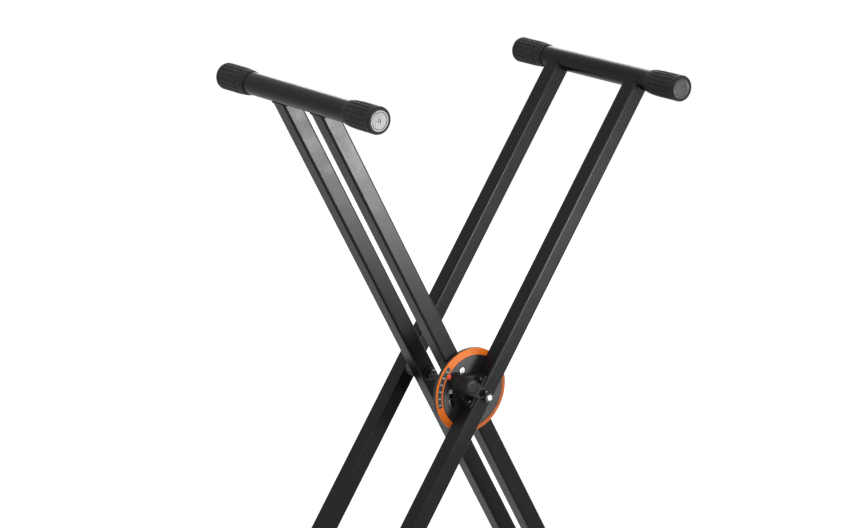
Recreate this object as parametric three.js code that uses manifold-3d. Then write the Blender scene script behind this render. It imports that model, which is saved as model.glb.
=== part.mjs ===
// Folding keyboard stand: two braced frames of square tube cross at a hub and fold like scissors.
// Millimetres, +Z up, floor at Z = 0 under the pivot. X runs from frame to frame, Y along the bars,
// and the front of the stand, with the lock, faces -Y.

import * as THREE from "three";
import { mergeVertices } from "three/addons/utils/BufferGeometryUtils.js";
import Module from "manifold-3d";

const wasm = await Module();
wasm.setup();

// ---------------------------------------------------------------- driving dimensions

// Stance and overall sizes
const HALF_ANGLE = 31.5; // degrees between an arm and the vertical
const UPPER_ARM = 489; // pivot to the top bar's axis
const LOWER_ARM = 489; // pivot to the base bar's axis
const INNER_ARM_Y = 43; // mid-plane to the centre of an inner arm
const BASE_LENGTH = 500; // base bar with its caps
const FOLD_OPEN = 8; // degrees that the frames open past this stance
const FOLD_CLOSED = 56; // degrees that they fold from it

// Gaps between pieces
const GAP = 0.3; // between faces that meet
const SLIP = 0.5; // around pieces that pass each other as they move

// Tubes
const ARM_SIZE = 25;
const ARM_WALL = 1.5;
const ARM_CORNER = 3;
const ARM_END_FLAT = 0.2; // left beside the saddle at a tube's end
const BAR_RADIUS = 15;
const BAR_WALL = 1.5;

// Rubber caps and end plugs
const TOP_CAP_OFFSET = 15; // outer arm's face to the cap
const TOP_CAP_LENGTH = 62;
const TOP_CAP_WALL = 3.2; // over the bar, where the cap is full
const TOP_CAP_LIP = 1.2; // over the bar, where the cap starts
const TOP_CAP_TAPER = 22; // length over which it swells
const TOP_CAP_ROUND = [2.6, 5]; // rounding of the end, inwards and back
const TOP_CAP_RING = 5.2; // depth of the ring round the end plug
const TOP_RING_STEP = 0.9; // ring's inner edge inside the bar's surface
const PLUG_LENGTH = 19;
const PLUG_SINK = 0.8; // plug face behind the cap's end
const PLUG_CHAMFER = 0.7;
const BASE_CAP_LENGTH = 50;
const BASE_CAP_WALL = 5;
const BASE_CAP_LIP = 2;
const BASE_CAP_TAPER = 12;
const BASE_CAP_ROUND = [3, 4];
const BASE_CAP_END = 4; // thickness of the closed end
const FOOT_FLAT = 1; // depth cut from the cap where it stands

// Pivot bolts
const BOLT_RADIUS = 4;
const HEX_STEP = 3.5; // from the bolt's radius to a corner of its head
const HEAD_HEIGHT = 5.5;
const NUT_HEIGHT = 6.5;
const BOLT_TAIL = 1.7; // bolt past its nut
const BUSH_WALL = 3;
const WASHER_STEP = 2.5; // washer past the hexagon's corners
const WASHER_THICKNESS = 1.6;
const SPACER_STEP = 5; // spacer past the bush
const THRUST_THICKNESS = 3.5;
const THRUST_MARGIN = 4.9; // between the thrust washer and the collar

// Clutch: a curved rod in the drum, and plates on the outer frame that grip it
const TRACK_RADIUS = 37.3; // centreline of the rod, the arc slot and the barrel
const ROD_RADIUS = 1.5;
const ROD_SEAT = 6.3; // degrees from the upper cover screw to the rod's end in its boss
const ROD_SLOT_CLEARANCE = 0.4; // round the rod where it passes the lug
const ROD_SLOT_SPAN = 6; // degrees cut to each side of the lug
const ANCHOR_SPAN = 6; // degrees of the block that holds the rod's far end
const ANCHOR_WIDTH = 6;
const ANCHOR_CLEARANCE = 2; // degrees between the block and the carrier when folded
const PLATE_COUNT = 4;
const PLATE_THICKNESS = 1;
const PLATE_GAP = 0.35; // between plates
const PLATE_CLEARANCE = 0.45; // round the rod
const PLATE_INNER_WALL = 1.75; // plate inside its bore, towards the pivot
const PLATE_OUTER_WALL = 1.65;
const PLATE_BACK_WALL = 0.85;
const PLATE_ANGLE = 25.9; // degrees from the barrel, round the track
const PLATE_TILT = 6; // degrees, at rest, when they grip
const CARRIER_THICKNESS = 1;
const CARRIER_RIM = 2.2; // metal outside the window
const CARRIER_LEAD = 7; // degrees of carrier before the barrel
const CARRIER_TAIL = 43; // degrees of carrier past the barrel
const WINDOW_MARGIN = 0.7; // round the plates
const WINDOW_START = 17.5; // degrees from the barrel
const LUG_ANGLE = 40.2; // degrees from the barrel to the lug that backs the spring
const LUG_THICKNESS = 2;
const FULCRUM_THICKNESS = 2.2;
const FULCRUM_WIDTH = 3;
const FULCRUM_LEDGE = 0.9; // how far it reaches along the first plate
const FULCRUM_GAP = 0.35;
const CLUTCH_WIRE_RADIUS = 0.35;
const CLUTCH_SPRING_TURNS = 3;

// Drum on the front inner arm
const DRUM_BACK = 1.5;
const DRUM_RIM = 3; // wall under the cover's edge
const RIM_CLEARANCE = 4.1; // between the carrier and the rim
const DRUM_HUB_WALL = 4; // boss round the bolt, past the bush
const COVER_THICKNESS = 1.8;
const COVER_PAD = 1; // extra thickness under a screw
const COVER_GROOVE = 0.6; // between cover and ring
const RING_FACE = 2.4;
const RING_DROP = 3.8; // ring's outer edge behind its inner edge
const RING_EDGE = 1.6; // ring's outer wall
const RING_WALL = 2;
const RING_CHAMFER = 0.6;
const LABEL_WIDTH = 5.5;
const LABEL_MARGIN = 1.5; // ring left inside and outside the label
const LABEL_LEAD = 11.5; // degrees of label before the pointer
const LABEL_SPAN = 61;
const LABEL_THICKNESS = 0.5;
const SLOT_SPARE = 0.6; // degrees of slot past the neck's travel
const NECK_CLEARANCE = 0.9; // between the neck and the slot's sides
const COVER_SCREW_RADIUS = 2.5;
const COVER_SCREW_LENGTH = 16;
const COVER_SCREW_LEAD = 12; // degrees from the carrier, when widest, back to the upper screw
const COVER_HEAD_RADIUS = 4.4;
const COVER_HEAD_HEIGHT = 1;
const COVER_SINK = 1.4; // depth of the recess for a screw head
const COVER_BOSS = 5.5;

// Lock housing and trigger on the front outer arm
const BARREL_RADIUS = 11.2;
const BARREL_WALL = 3.7;
const BARREL_FLOOR = 2.4; // floor in front of the collar
const COLLAR_STEP = 1.2; // collar past the barrel
const COLLAR_DEPTH = 2.5;
const BARREL_SPLIT = 17.6; // collar's back face to the trigger's edge
const SADDLE_THICKNESS = 3.5;
const SADDLE_LENGTH = 48;
const SADDLE_INSET = 1.5; // saddle's edges inside the arm's faces
const WEB_DEPTH = 10;
const WEB_INSET = 3; // web's corners inside the saddle's ends
const WEB_WRAP = 80; // degrees from the arm to where the web leaves the barrel
const HOUSING_SCREW_RADIUS = 2;
const HOUSING_SCREW_LENGTH = 8;
const HOUSING_SCREW_OFFSET = 17;
const HOUSING_SCREW_MARGIN = 2.2; // between the web and a screw's head
const HOUSING_HEAD_RADIUS = 3.8;
const HOUSING_HEAD_HEIGHT = 2.4;
const WING_THICKNESS = 6;
const WING_CLEARANCE = 1.7; // between the wing and the arm
const WING_INSET = 1; // wing's front face behind the hub's
const WING_TIP_RADIUS = 7;
const FINGER_HOLE_RADIUS = 4.75;
const NUT_CLEARANCE = 1; // between the wing's tip and the pivot nut
const LEVER_POCKET = 7.7; // spring pocket in the trigger's hub
const SHAFT_RADIUS = 2;
const SHAFT_COVER = 2.6; // trigger in front of the shaft's end
const NECK_WALL = 1.3; // sleeve round the shaft
const CAM_THICKNESS = 0.8;
const CAM_ROOT_RADIUS = 1.7;
const CAM_TIP_RADIUS = 1.2;
const CAM_CONTACT = 6.4; // along the first plate, from the edge that it tilts on
const TRIGGER_WIRE_RADIUS = 0.6;
const TRIGGER_SPRING_CLEARANCE = 1.7; // between the coil and its bore
const TRIGGER_SPRING_TURNS = 5;
const POINTER_ROOT = 1.2; // pointer's end inside the barrel's edge
const POINTER_WIDTH = 6.4;
const POINTER_TIP_WIDTH = 1.6;
const POINTER_SHOULDER = 4; // length at full width
const POINTER_SHORT = 4; // tip short of the label's outer edge

// Facets and modelling allowances
const ROUND_SIDES = 24;
const DRUM_SIDES = 48;
const SMALL_SIDES = 16;
const HEX_SIDES = 6;
const ROD_SIDES = 8;
const ROD_STEPS = 28;
const WIRE_SIDES = 5;
const CURL_STEPS = 8;
const SECTOR_STEPS = 16;
const SLOT_STEPS = 10;
const END_STEPS = 8;
const OVERLAP = 0.5; // how far joined shapes run into each other
const CUT_OVER = 1; // how far a cutter starts outside what it cuts

// ---------------------------------------------------------------- places worked out from them

const DEGREE = Math.PI / 180;
const BARREL_ANGLE = 180; // round the outer frame's pivot, square to its arms
const BARREL_TRACK = BARREL_ANGLE - 2 * HALF_ANGLE; // the same place round the inner frame's pivot

const HEX_RADIUS = BOLT_RADIUS + HEX_STEP;
const BOLT_BORE = BOLT_RADIUS + GAP;
const BUSH_RADIUS = BOLT_RADIUS + BUSH_WALL;

const PLATE_BORE = ROD_RADIUS + PLATE_CLEARANCE;
const PLATE_WIDTH = 2 * PLATE_BORE + PLATE_INNER_WALL + PLATE_OUTER_WALL;
const PLATE_PITCH = PLATE_THICKNESS + PLATE_GAP;
const PLATE_FULCRUM = TRACK_RADIUS - PLATE_BORE - PLATE_INNER_WALL; // plates tilt on their inner edge
const STACK_HALF = ((PLATE_COUNT - 1) * PLATE_PITCH + PLATE_THICKNESS) / 2;
const CARRIER_INNER = PLATE_FULCRUM - FULCRUM_WIDTH;
const WINDOW_INNER = PLATE_FULCRUM - WINDOW_MARGIN;
const WINDOW_OUTER = PLATE_FULCRUM + PLATE_WIDTH + WINDOW_MARGIN;
const CARRIER_OUTER = WINDOW_OUTER + CARRIER_RIM;
const NECK_RADIUS = SHAFT_RADIUS + GAP + NECK_WALL;
const CARRIER_WIDEST = BARREL_TRACK - FOLD_OPEN - CARRIER_LEAD;
const CARRIER_FOLDED = BARREL_TRACK + FOLD_CLOSED + CARRIER_TAIL;

const RIM_INNER = CARRIER_OUTER + RIM_CLEARANCE;
const COVER_RADIUS = RIM_INNER + DRUM_RIM;
const RING_INNER = COVER_RADIUS + COVER_GROOVE;
const LABEL_INNER = RING_INNER + LABEL_MARGIN;
const LABEL_OUTER = LABEL_INNER + LABEL_WIDTH;
const DRUM_RADIUS = LABEL_OUTER + LABEL_MARGIN;
const LABEL_START = BARREL_TRACK - LABEL_LEAD;
const LABEL_END = LABEL_START + LABEL_SPAN;
const SLOT_HALF = NECK_RADIUS + NECK_CLEARANCE;
const SLOT_START = BARREL_TRACK - FOLD_OPEN - SLOT_SPARE; // centres of the slot's round ends
const SLOT_END = BARREL_TRACK + FOLD_CLOSED + SLOT_SPARE;
const SCREW_ANGLE = CARRIER_WIDEST - COVER_SCREW_LEAD;
const ROD_START = SCREW_ANGLE + ROD_SEAT;
const ANCHOR_START = CARRIER_FOLDED + ANCHOR_CLEARANCE;
const ROD_END = ANCHOR_START + ANCHOR_SPAN / 2;

// Depths are distances from the mid-plane, towards the front or the rear.
const INNER_BACK = INNER_ARM_Y - ARM_SIZE / 2;
const INNER_FACE = INNER_ARM_Y + ARM_SIZE / 2;
const DRUM_REAR = INNER_FACE + GAP;
const DRUM_FLOOR = DRUM_REAR + DRUM_BACK;
const PLATE_REAR = DRUM_FLOOR + GAP;
const ROD_Y = PLATE_REAR + PLATE_BACK_WALL + PLATE_BORE;
const CAM_BACK = ROD_Y + ROD_RADIUS + GAP;
const CAM_FRONT = CAM_BACK + CAM_THICKNESS;
const CARRIER_BACK = CAM_FRONT + GAP;
const CARRIER_FRONT = CARRIER_BACK + CARRIER_THICKNESS;
const RIM_TOP = CARRIER_FRONT;
const COVER_BACK = RIM_TOP + GAP;
const COVER_SEAT = COVER_BACK - COVER_PAD;
const DRUM_FACE = COVER_BACK + COVER_THICKNESS;
const RING_BACK = DRUM_FACE - RING_DROP - RING_EDGE;
const THRUST_BACK = DRUM_FACE + GAP;
const OUTER_BACK = THRUST_BACK + THRUST_THICKNESS + GAP;
const OUTER_ARM_Y = OUTER_BACK + ARM_SIZE / 2;
const OUTER_FACE = OUTER_BACK + ARM_SIZE;

const COLLAR_RADIUS = BARREL_RADIUS + COLLAR_STEP;
const COLLAR_BACK = DRUM_FACE + SLIP;
const COLLAR_FRONT = COLLAR_BACK + COLLAR_DEPTH;
const BARREL_BORE = BARREL_RADIUS - BARREL_WALL;
const BARREL_INSIDE = COLLAR_FRONT + BARREL_FLOOR;
const LEVER_BACK = COLLAR_BACK + BARREL_SPLIT;
const HOUSING_FRONT = LEVER_BACK - GAP;
const WING_BACK = OUTER_FACE + WING_CLEARANCE;
const WING_FRONT = WING_BACK + WING_THICKNESS;
const LEVER_FACE = WING_FRONT + WING_INSET;
const POCKET_END = LEVER_BACK + LEVER_POCKET;
const SHAFT_END = LEVER_FACE - SHAFT_COVER;
const FINGER_HOLE_REACH = HEX_RADIUS + NUT_CLEARANCE + WING_TIP_RADIUS;
const SADDLE_INSIDE = ARM_SIZE / 2 + GAP;
const SADDLE_OUTSIDE = SADDLE_INSIDE + SADDLE_THICKNESS;
const WEB_BACK = OUTER_BACK + SLIP;
const WEB_FRONT = WEB_BACK + WEB_DEPTH;
const HOUSING_SCREW_Y = WEB_FRONT + HOUSING_SCREW_MARGIN + HOUSING_HEAD_RADIUS;
const POINTER_BASE = TRACK_RADIUS + BARREL_RADIUS - POINTER_ROOT;
const POINTER_TIP = LABEL_OUTER - POINTER_SHORT;

const TOP_HALF = OUTER_FACE + TOP_CAP_OFFSET + TOP_CAP_LENGTH; // mid-plane to the top cap's end
const BASE_HALF = BASE_LENGTH / 2;
const CAP_BORE = BAR_RADIUS + GAP;
const RING_RADIUS = BAR_RADIUS - TOP_RING_STEP;
const FOOT_DROP = BAR_RADIUS + BASE_CAP_WALL - FOOT_FLAT; // base bar's axis above the floor
const PIVOT_HEIGHT = FOOT_DROP + LOWER_ARM * Math.cos(HALF_ANGLE * DEGREE);

// ---------------------------------------------------------------- shape helpers

/** Points along an arc, from one angle to another in degrees, both ends included. */
function arc(radius, from, to, steps, centreX = 0, centreY = 0) {
  const points = [];
  for (let i = 0; i <= steps; i += 1) {
    const angle = (from + ((to - from) * i) / steps) * DEGREE;
    points.push(new THREE.Vector2(centreX + radius * Math.cos(angle), centreY + radius * Math.sin(angle)));
  }
  return points;
}

/** Points of a full circle. */
function circle(radius, sides, centreX = 0, centreY = 0) {
  return arc(radius, 0, 360, sides, centreX, centreY).slice(0, -1);
}

/** Outline of a ring's sector. */
function sector(inner, outer, from, to, steps) {
  return [...arc(outer, from, to, steps), ...arc(inner, to, from, steps)];
}

/** Outline of a square with rounded corners. */
function roundedSquare(size, corner, steps) {
  const reach = size / 2 - corner;
  const points = [];
  for (let quarter = 0; quarter < 4; quarter += 1) {
    const angle = (quarter * 90 + 45) * DEGREE;
    const centreX = Math.sign(Math.cos(angle)) * reach;
    const centreY = Math.sign(Math.sin(angle)) * reach;
    points.push(...arc(corner, quarter * 90, quarter * 90 + 90, steps, centreX, centreY));
  }
  return points;
}

/** Outline of the hull of two circles that lie on the X axis, the wide one first. */
function taper(wideX, wideRadius, tipX, tipRadius, steps) {
  const lean = Math.acos((wideRadius - tipRadius) / (tipX - wideX)) / DEGREE;
  const wide = arc(wideRadius, lean, 360 - lean, steps * 2, wideX);
  return [...wide, ...arc(tipRadius, -lean, lean, steps, tipX)];
}

/** A flat plate that faces the front: its outline is in X and Z, between two depths. */
function plate(outline, back, front, holes = []) {
  const shape = new THREE.Shape(outline);
  shape.holes = holes.map((points) => new THREE.Path(points));
  const geometry = new THREE.ExtrudeGeometry(shape, { depth: front - back, bevelEnabled: false });
  geometry.rotateX(Math.PI / 2);
  return geometry.translate(0, -back, 0);
}

/** A turned piece about the Y axis: a profile of [radius, depth], outer side with rising depth. */
function turned(side, profile, sides, start = 0) {
  const points = profile.map(([radius, depth]) => new THREE.Vector2(radius, side * depth));
  if (side < 0) points.reverse();
  return new THREE.LatheGeometry(points, sides, start);
}

/** Profile points of a rounded end: a quarter ellipse, from the full radius to the end face. */
function roundedEnd(radius, end, [inwards, back]) {
  return arc(1, 0, 90, 2).map(({ x, y }) => [radius - inwards * (1 - x), end - back * (1 - y)]);
}

/** A plain ring about the Y axis, between two depths. */
function ring(side, inner, outer, back, front, sides) {
  return turned(side, [[inner, back], [outer, back], [outer, front], [inner, front], [inner, back]], sides);
}

/** A plain disc or rod about the Y axis, between two depths. */
function disc(side, radius, back, front, sides) {
  return turned(side, [[0, back], [radius, back], [radius, front], [0, front]], sides);
}

/** A tube with a round section along a curve. */
function tube(path, radius, steps, sides) {
  const section = new THREE.Shape(circle(radius, sides));
  return new THREE.ExtrudeGeometry(section, { steps, extrudePath: path });
}

/** A closed geometry as a solid that can be cut and joined. */
function solid(geometry) {
  const plain = new THREE.BufferGeometry();
  plain.setAttribute("position", geometry.getAttribute("position"));
  if (geometry.index) plain.setIndex(geometry.index);
  const merged = mergeVertices(plain, 1e-4);
  const vertProperties = merged.getAttribute("position").array;
  const triVerts = new Uint32Array(merged.index.array);
  return new wasm.Manifold(new wasm.Mesh({ numProp: 3, vertProperties, triVerts }));
}

/** A solid as a geometry again. */
function geometryOf(made) {
  const mesh = made.getMesh();
  const geometry = new THREE.BufferGeometry();
  geometry.setAttribute("position", new THREE.BufferAttribute(new Float32Array(mesh.vertProperties), 3));
  geometry.setIndex(new THREE.BufferAttribute(new Uint32Array(mesh.triVerts), 1));
  const faceted = geometry.toNonIndexed();
  faceted.computeVertexNormals();
  return faceted;
}

/** One geometry with others joined to it and others cut from it. */
function shaped(base, joined, cut) {
  let made = solid(base);
  for (const geometry of joined) made = made.add(solid(geometry));
  for (const geometry of cut) made = made.subtract(solid(geometry));
  return geometryOf(made);
}

/** A round cutter along Y, at a place in X and Z, that reaches through the whole stand. */
function drill(radius, x, z, sides) {
  return new THREE.CylinderGeometry(radius, radius, 4 * OUTER_FACE, sides).translate(x, 0, z);
}

/** The place on the track's centreline at an angle in degrees. */
function trackPlace(angle) {
  return { x: TRACK_RADIUS * Math.cos(angle * DEGREE), z: TRACK_RADIUS * Math.sin(angle * DEGREE) };
}

/** The angle in degrees that a distance spans along the track. */
function trackAngle(distance) {
  return distance / TRACK_RADIUS / DEGREE;
}

// ---------------------------------------------------------------- finishes

const FINISHES = {
  frame_paint: { color: 0x1d1d20, roughness: 0.42, metalness: 0.2 },
  rubber: { color: 0x18181a, roughness: 0.8, metalness: 0 },
  plug_plastic: { color: 0x4a4a4e, roughness: 0.4, metalness: 0 },
  drum_plastic: { color: 0x222226, roughness: 0.5, metalness: 0 },
  orange_plastic: { color: 0xff7a12, roughness: 0.45, metalness: 0 },
  label_film: { color: 0x17171a, roughness: 0.4, metalness: 0 },
  pointer_red: { color: 0xe8452c, roughness: 0.4, metalness: 0 },
  lever_plastic: { color: 0x242427, roughness: 0.5, metalness: 0 },
  zinc_steel: { color: 0xb9babd, roughness: 0.35, metalness: 0.9 },
  dark_steel: { color: 0x2b2b2e, roughness: 0.4, metalness: 0.8 },
  nylon: { color: 0x3a3a3c, roughness: 0.6, metalness: 0 },
};

/** A named piece with its own finish, put in a group. */
function add(group, name, geometry, finish) {
  const mesh = new THREE.Mesh(geometry, new THREE.MeshStandardMaterial(FINISHES[finish]));
  mesh.name = name;
  group.add(mesh);
  return mesh;
}

/** A group at a radius and an angle round the pivot: its X points outwards and its Z along the turn. */
function roundPivot(group, radius, angle) {
  const placed = new THREE.Group();
  placed.position.set(radius * Math.cos(angle * DEGREE), 0, radius * Math.sin(angle * DEGREE));
  placed.rotation.y = -angle * DEGREE;
  group.add(placed);
  return placed;
}

// ---------------------------------------------------------------- one frame: arms, bars, caps

/** A square tube with both ends saddled to the bars and a bore for the pivot bush. */
function armGeometry(cuts) {
  const saddle = BAR_RADIUS + GAP;
  const relief = Math.sqrt(Math.max(0, saddle ** 2 - (ARM_SIZE / 2) ** 2)) + ARM_END_FLAT;
  const shape = new THREE.Shape(roundedSquare(ARM_SIZE, ARM_CORNER, 2));
  const inside = roundedSquare(ARM_SIZE - 2 * ARM_WALL, ARM_CORNER - ARM_WALL, 1);
  shape.holes = [new THREE.Path(inside)];
  const length = UPPER_ARM + LOWER_ARM - 2 * relief;
  const square = new THREE.ExtrudeGeometry(shape, { depth: length, bevelEnabled: false });
  square.translate(0, 0, relief - LOWER_ARM);
  const topSaddle = drill(saddle, 0, UPPER_ARM, ROUND_SIDES);
  const baseSaddle = drill(saddle, 0, -LOWER_ARM, ROUND_SIDES);
  const pivotBore = drill(BUSH_RADIUS + GAP, 0, 0, SMALL_SIDES);
  return shaped(square, [], [topSaddle, baseSaddle, pivotBore, ...cuts]);
}

/** A fluted cap's plain envelope: it swells from its lip and has a ring round the end plug. */
function topCapGeometry(side) {
  const start = TOP_HALF - TOP_CAP_LENGTH;
  const profile = [
    [CAP_BORE, start],
    [BAR_RADIUS + TOP_CAP_LIP, start],
    [BAR_RADIUS + TOP_CAP_WALL, start + TOP_CAP_TAPER],
    ...roundedEnd(BAR_RADIUS + TOP_CAP_WALL, TOP_HALF, TOP_CAP_ROUND),
    [RING_RADIUS, TOP_HALF],
    [RING_RADIUS, TOP_HALF - TOP_CAP_RING],
    [CAP_BORE, TOP_HALF - TOP_CAP_RING],
    [CAP_BORE, start],
  ];
  return turned(side, profile, ROUND_SIDES, Math.PI / ROUND_SIDES);
}

/** The plug in the end of a top bar: a stub in the tube and a flange on its edge. */
function plugGeometry(side) {
  const seat = TOP_HALF - TOP_CAP_RING;
  const face = TOP_HALF - PLUG_SINK;
  const stub = BAR_RADIUS - BAR_WALL - GAP;
  const flange = RING_RADIUS - GAP;
  const profile = [
    [0, seat - PLUG_LENGTH],
    [stub, seat - PLUG_LENGTH],
    [stub, seat],
    [flange, seat],
    [flange, face - PLUG_CHAMFER],
    [flange - PLUG_CHAMFER, face],
    [0, face],
  ];
  return turned(side, profile, ROUND_SIDES);
}

/** A closed rubber foot on the end of a base bar, with a flat on the floor. */
function baseCapGeometry(side) {
  const radius = BAR_RADIUS + BASE_CAP_WALL;
  const start = BASE_HALF - BASE_CAP_LENGTH;
  const profile = [
    [0, BASE_HALF - BASE_CAP_END],
    [CAP_BORE, BASE_HALF - BASE_CAP_END],
    [CAP_BORE, start],
    [BAR_RADIUS + BASE_CAP_LIP, start],
    [radius, start + BASE_CAP_TAPER],
    ...roundedEnd(radius, BASE_HALF, BASE_CAP_ROUND),
    [0, BASE_HALF],
  ];
  const below = new THREE.BoxGeometry(4 * radius, 3 * BASE_LENGTH, radius);
  below.translate(0, 0, -FOOT_DROP - radius / 2);
  return shaped(turned(side, profile, ROUND_SIDES), [], [below]);
}

/** The tube, caps and plugs of a frame, in the frame's own axes with its arms along Z. */
function buildFrame(name, lean, armY, frontCuts) {
  const frame = new THREE.Group();
  frame.position.z = PIVOT_HEIGHT;
  frame.rotation.y = lean * DEGREE;
  const bars = [
    ["top_bar", UPPER_ARM, TOP_HALF - TOP_CAP_RING - GAP],
    ["base_bar", -LOWER_ARM, BASE_HALF - BASE_CAP_END - GAP],
  ];
  for (const [bar, z, half] of bars) {
    const pipe = ring(1, BAR_RADIUS - BAR_WALL, BAR_RADIUS, -half, half, ROUND_SIDES);
    add(frame, `${name}_${bar}`, pipe, "frame_paint").position.z = z;
  }
  const level = { top: new THREE.Group(), base: new THREE.Group() };
  level.top.position.z = UPPER_ARM;
  level.base.position.z = -LOWER_ARM;
  for (const seat of Object.values(level)) {
    seat.rotation.y = -lean * DEGREE;
    frame.add(seat);
  }
  for (const [place, side] of [["front", -1], ["rear", 1]]) {
    const cuts = side < 0 ? frontCuts : [];
    add(frame, `${name}_${place}_arm`, armGeometry(cuts), "frame_paint").position.y = side * armY;
    const bush = ring(side, BOLT_BORE, BUSH_RADIUS, armY - ARM_SIZE / 2, armY + ARM_SIZE / 2, SMALL_SIDES);
    add(frame, `${name}_${place}_bush`, bush, "zinc_steel");
    add(level.top, `${name}_${place}_top_cap`, topCapGeometry(side), "rubber");
    add(level.top, `${name}_${place}_end_plug`, plugGeometry(side), "plug_plastic");
    add(level.base, `${name}_${place}_base_cap`, baseCapGeometry(side), "rubber");
  }
  return frame;
}

// ---------------------------------------------------------------- pivots

/** A bolt along Y with a hexagon head at one depth and a plain round tail at the other. */
function boltGeometry(side, headBack, headFront, tail) {
  const shankBack = Math.min(headBack, tail);
  const shankFront = Math.max(headFront, tail);
  const shank = disc(side, BOLT_RADIUS, shankBack, shankFront, SMALL_SIDES);
  const head = disc(side, HEX_RADIUS, headBack, headFront, HEX_SIDES);
  return shaped(head, [shank], []);
}

/** The bolts, nuts and washers that the frames turn on, with the spacers between the arms. */
function addPivots(frame) {
  const washerBack = INNER_BACK - GAP - WASHER_THICKNESS;
  const washerFront = INNER_BACK - GAP;
  const inner = washerBack - GAP;
  const outer = OUTER_FACE + GAP;
  const nut = (side, back) => {
    const hexagon = disc(side, HEX_RADIUS, back, back + NUT_HEIGHT, HEX_SIDES);
    return shaped(hexagon, [], [drill(BOLT_BORE, 0, 0, SMALL_SIDES)]);
  };
  const frontBolt = boltGeometry(-1, inner - HEAD_HEIGHT, inner, outer + NUT_HEIGHT + BOLT_TAIL);
  const rearBolt = boltGeometry(1, outer, outer + HEAD_HEIGHT, inner - NUT_HEIGHT - BOLT_TAIL);
  add(frame, "front_pivot_bolt", frontBolt, "zinc_steel");
  add(frame, "front_pivot_nut", nut(-1, outer), "dark_steel");
  add(frame, "rear_pivot_bolt", rearBolt, "dark_steel");
  add(frame, "rear_pivot_nut", nut(1, inner - NUT_HEIGHT), "dark_steel");
  for (const [place, side] of [["front", -1], ["rear", 1]]) {
    const washer = ring(side, BOLT_BORE, HEX_RADIUS + WASHER_STEP, washerBack, washerFront, SMALL_SIDES);
    add(frame, `${place}_pivot_washer`, washer, "dark_steel");
  }
  const spacerRadius = BUSH_RADIUS + SPACER_STEP;
  const spacer = ring(1, BOLT_BORE, spacerRadius, INNER_FACE + GAP, OUTER_BACK - GAP, SMALL_SIDES);
  add(frame, "rear_arm_spacer", spacer, "nylon");
  const thrustRadius = TRACK_RADIUS - COLLAR_RADIUS - THRUST_MARGIN;
  const thrust = ring(-1, BOLT_BORE, thrustRadius, THRUST_BACK, OUTER_BACK - GAP, ROUND_SIDES);
  add(frame, "thrust_washer", thrust, "nylon");
}

// ---------------------------------------------------------------- drum on the inner frame

const SCREW_PLACES = {
  upper: trackPlace(SCREW_ANGLE),
  lower: trackPlace(SCREW_ANGLE + 180),
};

/** A curve along the track at the rod's depth, between two angles. */
class TrackCurve extends THREE.Curve {
  constructor(from, to) {
    super();
    this.from = from;
    this.to = to;
  }

  getPoint(share, target = new THREE.Vector3()) {
    const { x, z } = trackPlace(this.from + (this.to - this.from) * share);
    return target.set(x, -ROD_Y, z);
  }
}

/** Depth of the ring's sloping face at a radius. */
function ringFace(radius) {
  return DRUM_FACE - (RING_DROP * (radius - RING_INNER)) / (DRUM_RADIUS - RING_INNER);
}

/** A band along the ring's face, between two radii, two angles and two heights over the face. */
function faceBand(inner, outer, from, to, low, high) {
  const corners = [[inner, low], [outer, low], [outer, high], [inner, high]];
  const positions = [];
  const index = [0, 1, 2, 0, 2, 3];
  for (let i = 0; i <= SECTOR_STEPS; i += 1) {
    const angle = (from + ((to - from) * i) / SECTOR_STEPS) * DEGREE;
    const start = positions.length / 3;
    for (const [radius, height] of corners) {
      positions.push(radius * Math.cos(angle), -ringFace(radius) - height, radius * Math.sin(angle));
    }
    for (let j = 0; j < 4 && i > 0; j += 1) {
      const [a, b] = [start + j, start + ((j + 1) % 4)];
      index.push(a - 4, a, b, a - 4, b, b - 4);
    }
  }
  const last = positions.length / 3 - 4;
  index.push(last, last + 2, last + 1, last, last + 3, last + 2);
  const geometry = new THREE.BufferGeometry();
  geometry.setAttribute("position", new THREE.Float32BufferAttribute(positions, 3));
  geometry.setIndex(index);
  return geometry;
}

/** The drum's back, with its skirt, rim, hub, screw bosses and the block for the rod's far end. */
function drumHousingGeometry() {
  const wallBack = DRUM_REAR + DRUM_BACK / 2; // each wall starts inside the back
  const rim = ring(-1, RIM_INNER, COVER_RADIUS, wallBack, RIM_TOP, DRUM_SIDES);
  const skirt = ring(-1, DRUM_RADIUS - RING_WALL, DRUM_RADIUS, wallBack, RING_BACK - GAP, DRUM_SIDES);
  const hub = disc(-1, BUSH_RADIUS + DRUM_HUB_WALL, wallBack, RIM_TOP, ROUND_SIDES);
  const bosses = [];
  const drills = [];
  for (const { x, z } of Object.values(SCREW_PLACES)) {
    bosses.push(plate(circle(COVER_BOSS, SMALL_SIDES, x, z), wallBack, COVER_SEAT - GAP));
    drills.push(drill(COVER_SCREW_RADIUS + GAP, x, z, SMALL_SIDES));
  }
  const anchorOutline = sector(
    TRACK_RADIUS - ANCHOR_WIDTH / 2,
    TRACK_RADIUS + ANCHOR_WIDTH / 2,
    ANCHOR_START,
    ANCHOR_START + ANCHOR_SPAN,
    2,
  );
  const anchor = plate(anchorOutline, wallBack, RIM_TOP);
  const spare = trackAngle(GAP);
  const rodPath = new TrackCurve(ROD_START - spare, ROD_END + spare);
  const rodBore = tube(rodPath, ROD_RADIUS + GAP, ROD_STEPS, ROD_SIDES);
  const back = disc(-1, DRUM_RADIUS, DRUM_REAR, DRUM_FLOOR, DRUM_SIDES);
  const bore = drill(BOLT_BORE, 0, 0, SMALL_SIDES);
  return shaped(back, [skirt, rim, hub, ...bosses, anchor], [bore, rodBore, ...drills]);
}

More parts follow.
